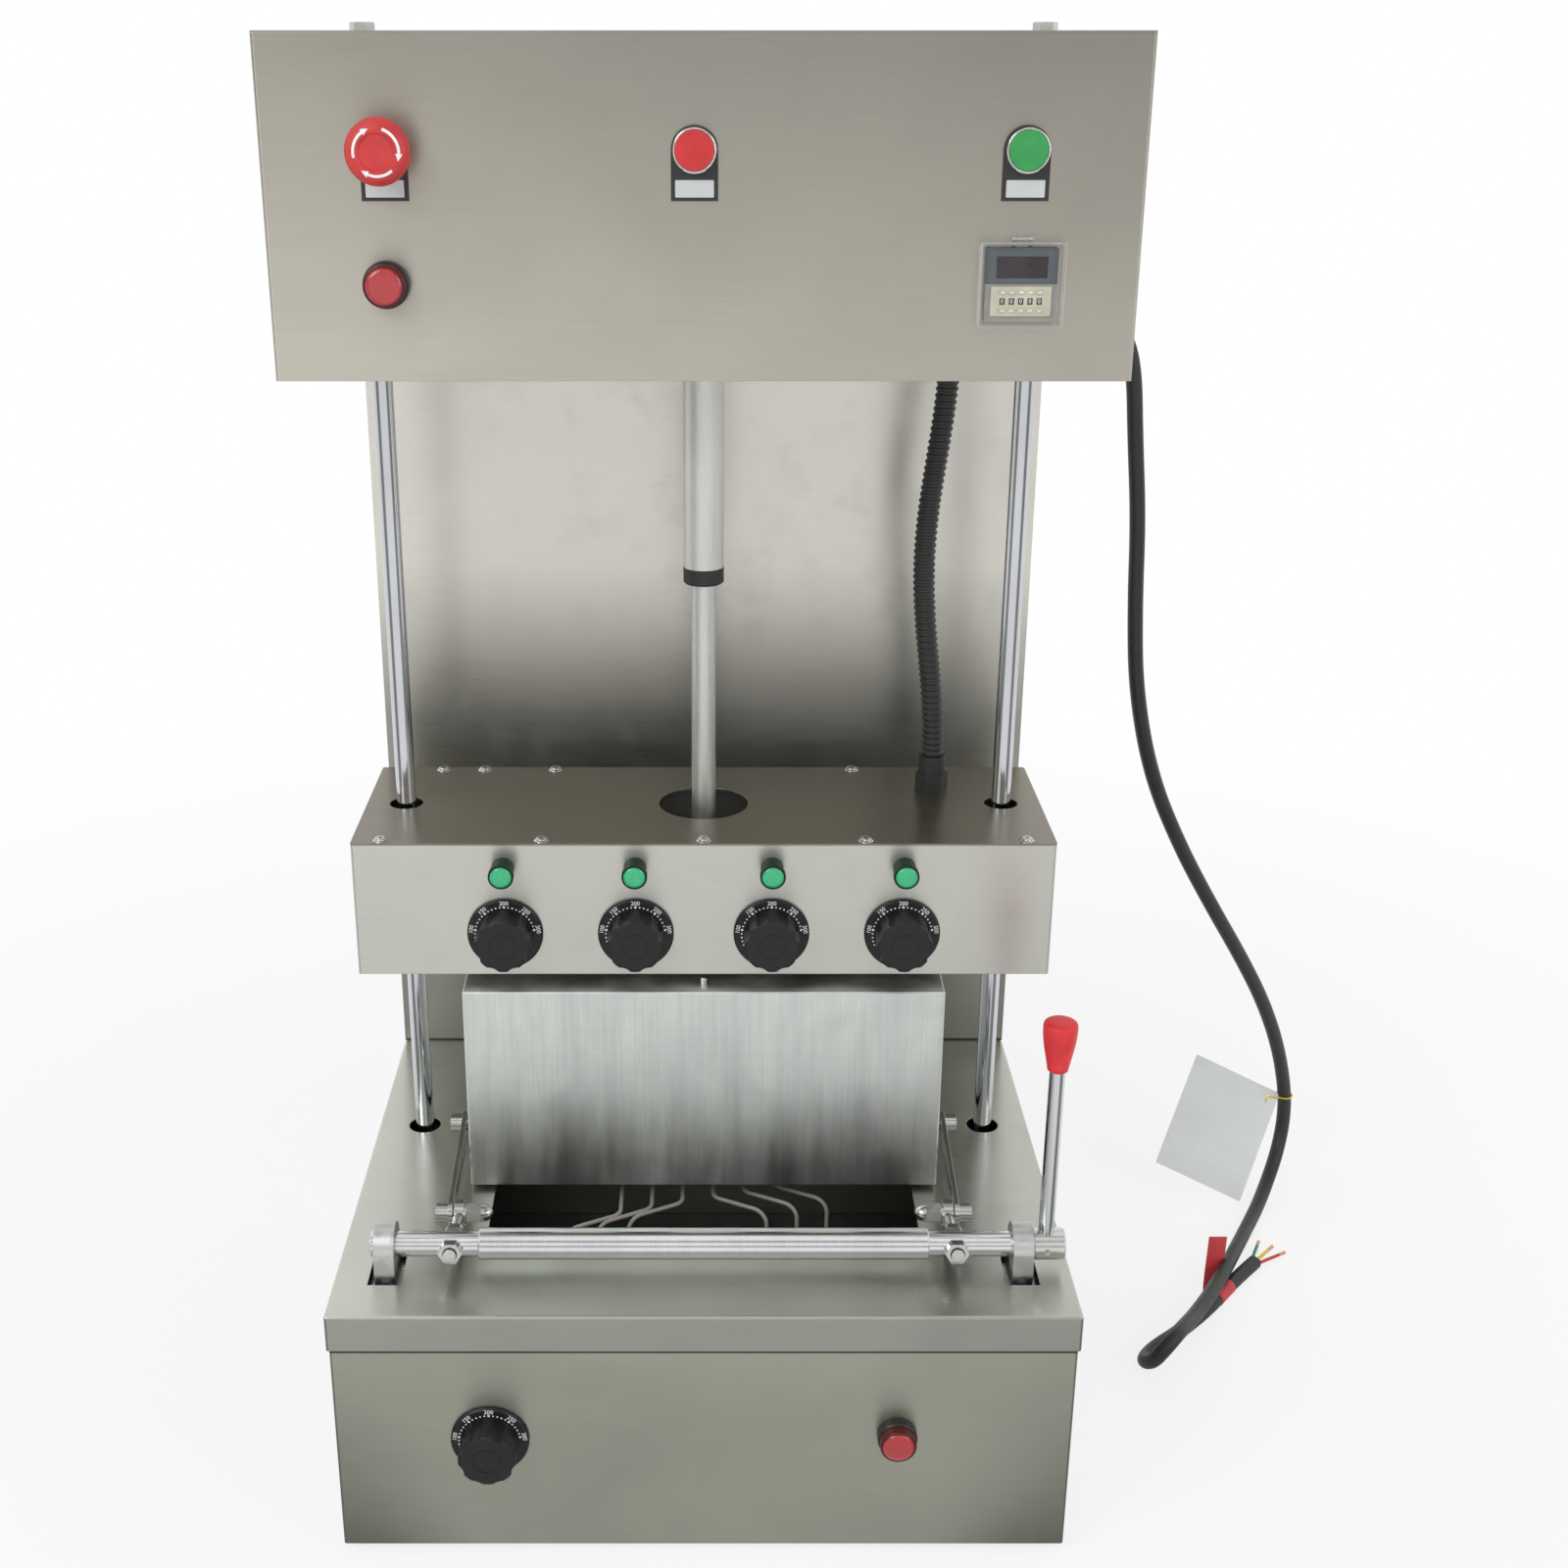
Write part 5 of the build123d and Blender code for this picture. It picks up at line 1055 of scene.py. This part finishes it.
def make_boot():
    """The strain relief: a ball that is flat against the nut, and a ribbed taper."""
    turns = [pi / 2 * i / boot_ball_steps for i in range(1, boot_ball_steps + 1)]
    profile = [(0, -boot_ball)] + [(boot_ball * sin(a), -boot_ball * cos(a)) for a in turns]
    pitch = boot_length / boot_rib_count
    for rib in range(boot_rib_count):
        for share, sink in boot_last_rib if rib == boot_rib_count - 1 else boot_rib:
            height = (rib + share) * pitch
            radius = boot_ball + (boot_tip - boot_ball) * height / boot_length
            profile.append((radius - sink * boot_rib_depth, height))
    profile.append((0, boot_length))
    bm = bmesh.new()
    lathe(bm, profile)
    bm.transform(Matrix.Translation(boot_place) @ Matrix.Rotation(boot_tilt, 4, "Y"))
    cut = bmesh.ops.bisect_plane(
        bm, geom=bm.verts[:] + bm.edges[:] + bm.faces[:], plane_co=boot_place, plane_no=(1, 0, 0),
        clear_inner=True,
    )
    edges = [item for item in cut["geom_cut"] if isinstance(item, bmesh.types.BMEdge)]
    bmesh.ops.contextual_create(bm, geom=edges)
    boot = solid("lead_boot", bm, "frame", cord_skin, smooth=True)
    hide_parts("power_cord")
    return boot


def swept(bm, path, radius_wide, radius_thin, count=16):
    """A tube of oval section along a path, with flat ends."""
    rings = []
    side = None
    for index, point in enumerate(path):
        ahead = path[min(index + 1, len(path) - 1)] - path[max(index - 1, 0)]
        ahead.normalize()
        if side is None:
            side = ahead.cross(Vector((0, 0, 1)) if abs(ahead.z) < 0.9 else Vector((0, 1, 0)))
        side = (side - ahead * side.dot(ahead)).normalized()
        other = ahead.cross(side)
        rings.append([
            bm.verts.new(point + side * (radius_wide * x) + other * (radius_thin * y))
            for x, y in ring_points(1, count)
        ])
    band(bm, rings)
    bm.faces.new(rings[0][::-1])
    bm.faces.new(rings[-1])


# A blank card on a yellow tie, and a strip of red tape round the cord's end
tag_hole = Vector((0.5915, 0.3375, 0.1000))
tag_across = Vector((0.90, -0.10, -0.42)).normalized()
tag_down = Vector((-0.406, -0.531, -0.744)).normalized()
tag_outline = (0.098, 0.122, 0.0015)
tag_hole_place = (0.012, 0.008)
tag_hole_radius = 0.0022
tag_thickness = 0.0004


def make_tag():
    width, height, _ = tag_outline
    curve = bpy.data.curves.new("card", "CURVE")
    curve.dimensions = "2D"
    curve.fill_mode = "BOTH"
    curve.extrude = tag_thickness / 2
    hole_x = width / 2 - tag_hole_place[0]
    hole_y = height / 2 - tag_hole_place[1]
    hole = ring_points(tag_hole_radius, 20, (hole_x, hole_y))
    for outline in (rounded(*tag_outline), hole):
        spline = curve.splines.new("POLY")
        spline.points.add(len(outline) - 1)
        for point, (x, y) in zip(spline.points, outline):
            point.co = (x, y, 0, 1)
        spline.use_cyclic_u = True
    mesh = as_mesh(curve)
    up = -tag_down
    out = tag_across.cross(up).normalized()
    corner = tag_hole - tag_across * hole_x - up * hole_y
    basis = Matrix((tag_across, up, out)).transposed().to_4x4()
    mesh.transform(Matrix.Translation(corner) @ basis)
    return piece("lead_tag", mesh, "frame", tag_card)


tie_height = 0.100
tie_wire = 0.0009
tie_flat = 0.7
tie_steps = 24
tie_start, tie_sweep = 35, 290
tie_pitch = 0.0012
tie_before = ((-0.002, -0.004, -0.006), (0.0, -0.0015, 0.0))
tie_after = ((0.001, 0.002, 0.001), (-0.003, 0.003, -0.004))


def make_tie():
    """Once round the cord, through the card's hole, and a short twisted tail."""
    centre = min(cord_line[: len(cord_line) * 2 // 3], key=lambda p: abs(p.z - tie_height))
    reach = cord_radius + tie_wire
    toward = Vector((tag_hole.x - centre.x, tag_hole.y - centre.y, 0)).normalized()
    path = [tag_hole + Vector(step) for step in tie_before]
    for step in range(tie_steps + 1):
        share = step / tie_steps
        turn = Matrix.Rotation(radians(tie_start + tie_sweep * share), 3, "Z")
        path.append(centre + turn @ toward * reach + Vector((0, 0, tie_pitch * share)))
    path += [tag_hole + Vector(step) for step in tie_after]
    bm = bmesh.new()
    swept(bm, path, tie_wire, tie_wire * tie_flat, count=10)
    return solid("lead_tie", bm, "frame", tie_yellow, smooth=True)


tape_share = (0.967, 0.983)
tape_thickness = 0.00035
strip_path = [
    (0.4935, 0.1290, 0.0010), (0.4945, 0.1350, 0.0008), (0.4960, 0.1405, 0.0020),
    (0.4976, 0.1460, 0.0110), (0.4990, 0.1500, 0.0200), (0.5005, 0.1540, 0.0310),
    (0.5020, 0.1580, 0.0450),
]
strip_half_width = 0.0088
strip_thickness = 0.0004


def make_tape():
    low, high = [int(share * (len(cord_line) - 1)) for share in tape_share]
    bm = bmesh.new()
    radius = cord_radius + tape_thickness
    swept(bm, cord_line[low:high], radius, radius, count=32)
    wrap = solid("lead_tape", bm, "frame", tape_red, smooth=True)
    bm = bmesh.new()
    rows = []
    side = Vector((strip_half_width, 0, 0))
    path = [Vector(point) for point in strip_path]
    for index, middle in enumerate(path):
        ahead = path[min(index + 1, len(path) - 1)] - path[max(index - 1, 0)]
        out = side.cross(ahead).normalized() * strip_thickness
        corners = (middle - side, middle + side, middle + side + out, middle - side + out)
        rows.append([bm.verts.new(corner) for corner in corners])
    band(bm, rows)
    bm.faces.new(rows[0])
    bm.faces.new(rows[-1])
    return [wrap, solid("lead_tape_end", bm, "frame", tape_red)]


make_boot()
make_tag()
make_tie()
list(make_tape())

# Stage

# The floor goes by its distance from the object's axis, and the gaps and bands by direction
floor_half = 30.0
floor_grey = (0.86, 0.86, 0.86)
floor_roughness = 0.9
white_share = 0.80
white_from, white_to = 0.7, 2.0
glossy_share = 0.9
bench_grey = 0.62
bench_from, bench_to = 0.50, 0.85
gap_grey = 0.22
gap_rise, gap_fall = (0.60, 0.74), (0.95, 0.99)
ambient = 0.62
band_grey = 0.42
band_edges = (((0.06, 0.14), (0.26, 0.34)), ((0.60, 0.66), (0.78, 0.84)))
band_front = (-0.3, 0.1)


def between(build, value, rise, fall):
    """1 from the end of rise to the start of fall, and 0 outside them."""
    return build.sum("SUBTRACT", build.span(value, *rise), build.span(value, *fall))


def rays(build):
    """1 for rays that the camera sends straight or through glass, and 1 for reflections."""
    path = build.add("ShaderNodeLightPath").outputs
    seen = build.sum("MAXIMUM", path["Is Camera Ray"], path["Is Transmission Ray"])
    return seen, path["Is Glossy Ray"]


def studio(build, x, y):
    """Shares of white that metal sees level: a grey gap between the panels on each side."""
    squares = build.sum("ADD", build.sum("MULTIPLY", x, x), build.sum("MULTIPLY", y, y))
    reach = build.sum("SQRT", squares)
    side = build.sum("ABSOLUTE", build.sum("DIVIDE", x, reach))
    gap = between(build, side, gap_rise, gap_fall)
    gap = build.sum("MULTIPLY", gap, build.sum("LESS_THAN", y, 0.0))
    return build.span(gap, 0, 1, 1.0, gap_grey), reach


def make_floor():
    mesh = bpy.data.meshes.new("floor")
    half = floor_half
    corners = [(-half, -half, 0), (half, -half, 0), (half, half, 0), (-half, half, 0)]
    mesh.from_pydata(corners, [], [(0, 1, 2, 3)])
    placed("floor", mesh)
    material = bpy.data.materials.new("floor")
    material.use_nodes = True
    build = Nodes(material.node_tree)
    shader = build.tree.nodes["Principled BSDF"]
    build.feed(
        shader, Base_Color=(*floor_grey, 1), Roughness=floor_roughness, Specular_IOR_Level=0.0
    )
    place = build.add("ShaderNodeTexCoord").outputs["Object"]
    panels, reach = studio(build, build.axis("X", place), build.axis("Y", place))
    bench = build.span(reach, bench_from, bench_to, bench_grey, 1.0)
    seen, glossy = rays(build)
    white = build.add("ShaderNodeEmission")
    strength = build.choose(glossy, 1.0, build.sum("MULTIPLY", panels, bench))
    build.feed(white, Strength=strength)
    share = build.sum("MULTIPLY", seen, build.span(reach, white_from, white_to, white_share, 1.0))
    share = build.sum("MULTIPLY_ADD", glossy, glossy_share, share)
    mix = build.add("ShaderNodeMixShader")
    build.put(mix.inputs[0], share)
    build.put(mix.inputs[1], shader.outputs[0])
    build.put(mix.inputs[2], white.outputs[0])
    build.put(build.tree.nodes["Material Output"].inputs["Surface"], mix.outputs[0])
    mesh.materials.append(material)


make_floor()


light_aim = Vector((0, 0, 0.5))


def area_light(name, place, size, watts):
    data = bpy.data.lights.new(name, "AREA")
    data.shape = "RECTANGLE"
    data.size, data.size_y = size
    data.energy = watts
    light = placed(name, data)
    light.location = place
    light.rotation_euler = (light_aim - Vector(place)).to_track_quat("-Z", "Y").to_euler()


area_light("key", (-2.2, -2.4, 2.8), (1.8, 1.8), 55)
area_light("fill", (2.6, -1.8, 1.6), (1.6, 2.0), 22)


def make_world():
    """White for the camera; for metal, white panels with grey gaps between them, as in a studio."""
    world = bpy.data.worlds.new("world")
    bpy.context.scene.world = world
    world.use_nodes = True
    build = Nodes(world.node_tree)
    background = build.tree.nodes["Background"]
    build.feed(background, Color=(1, 1, 1, 1))
    way = build.add("ShaderNodeTexCoord").outputs["Generated"]
    y, z = build.axis("Y", way), build.axis("Z", way)
    panels, _ = studio(build, build.axis("X", way), y)
    low_band, high_band = [between(build, z, *edges) for edges in band_edges]
    front = build.span(y, *band_front, 1.0, 0.0)
    band_share = build.sum("MULTIPLY", build.sum("ADD", low_band, high_band), front)
    shown = build.sum("MULTIPLY", panels, build.span(band_share, 0, 1, 1.0, band_grey))
    seen, glossy = rays(build)
    strength = build.choose(seen, build.choose(glossy, ambient, shown), 1.0)
    build.feed(background, Strength=strength)


make_world()
bpy.context.scene.view_settings.view_transform = "Standard"
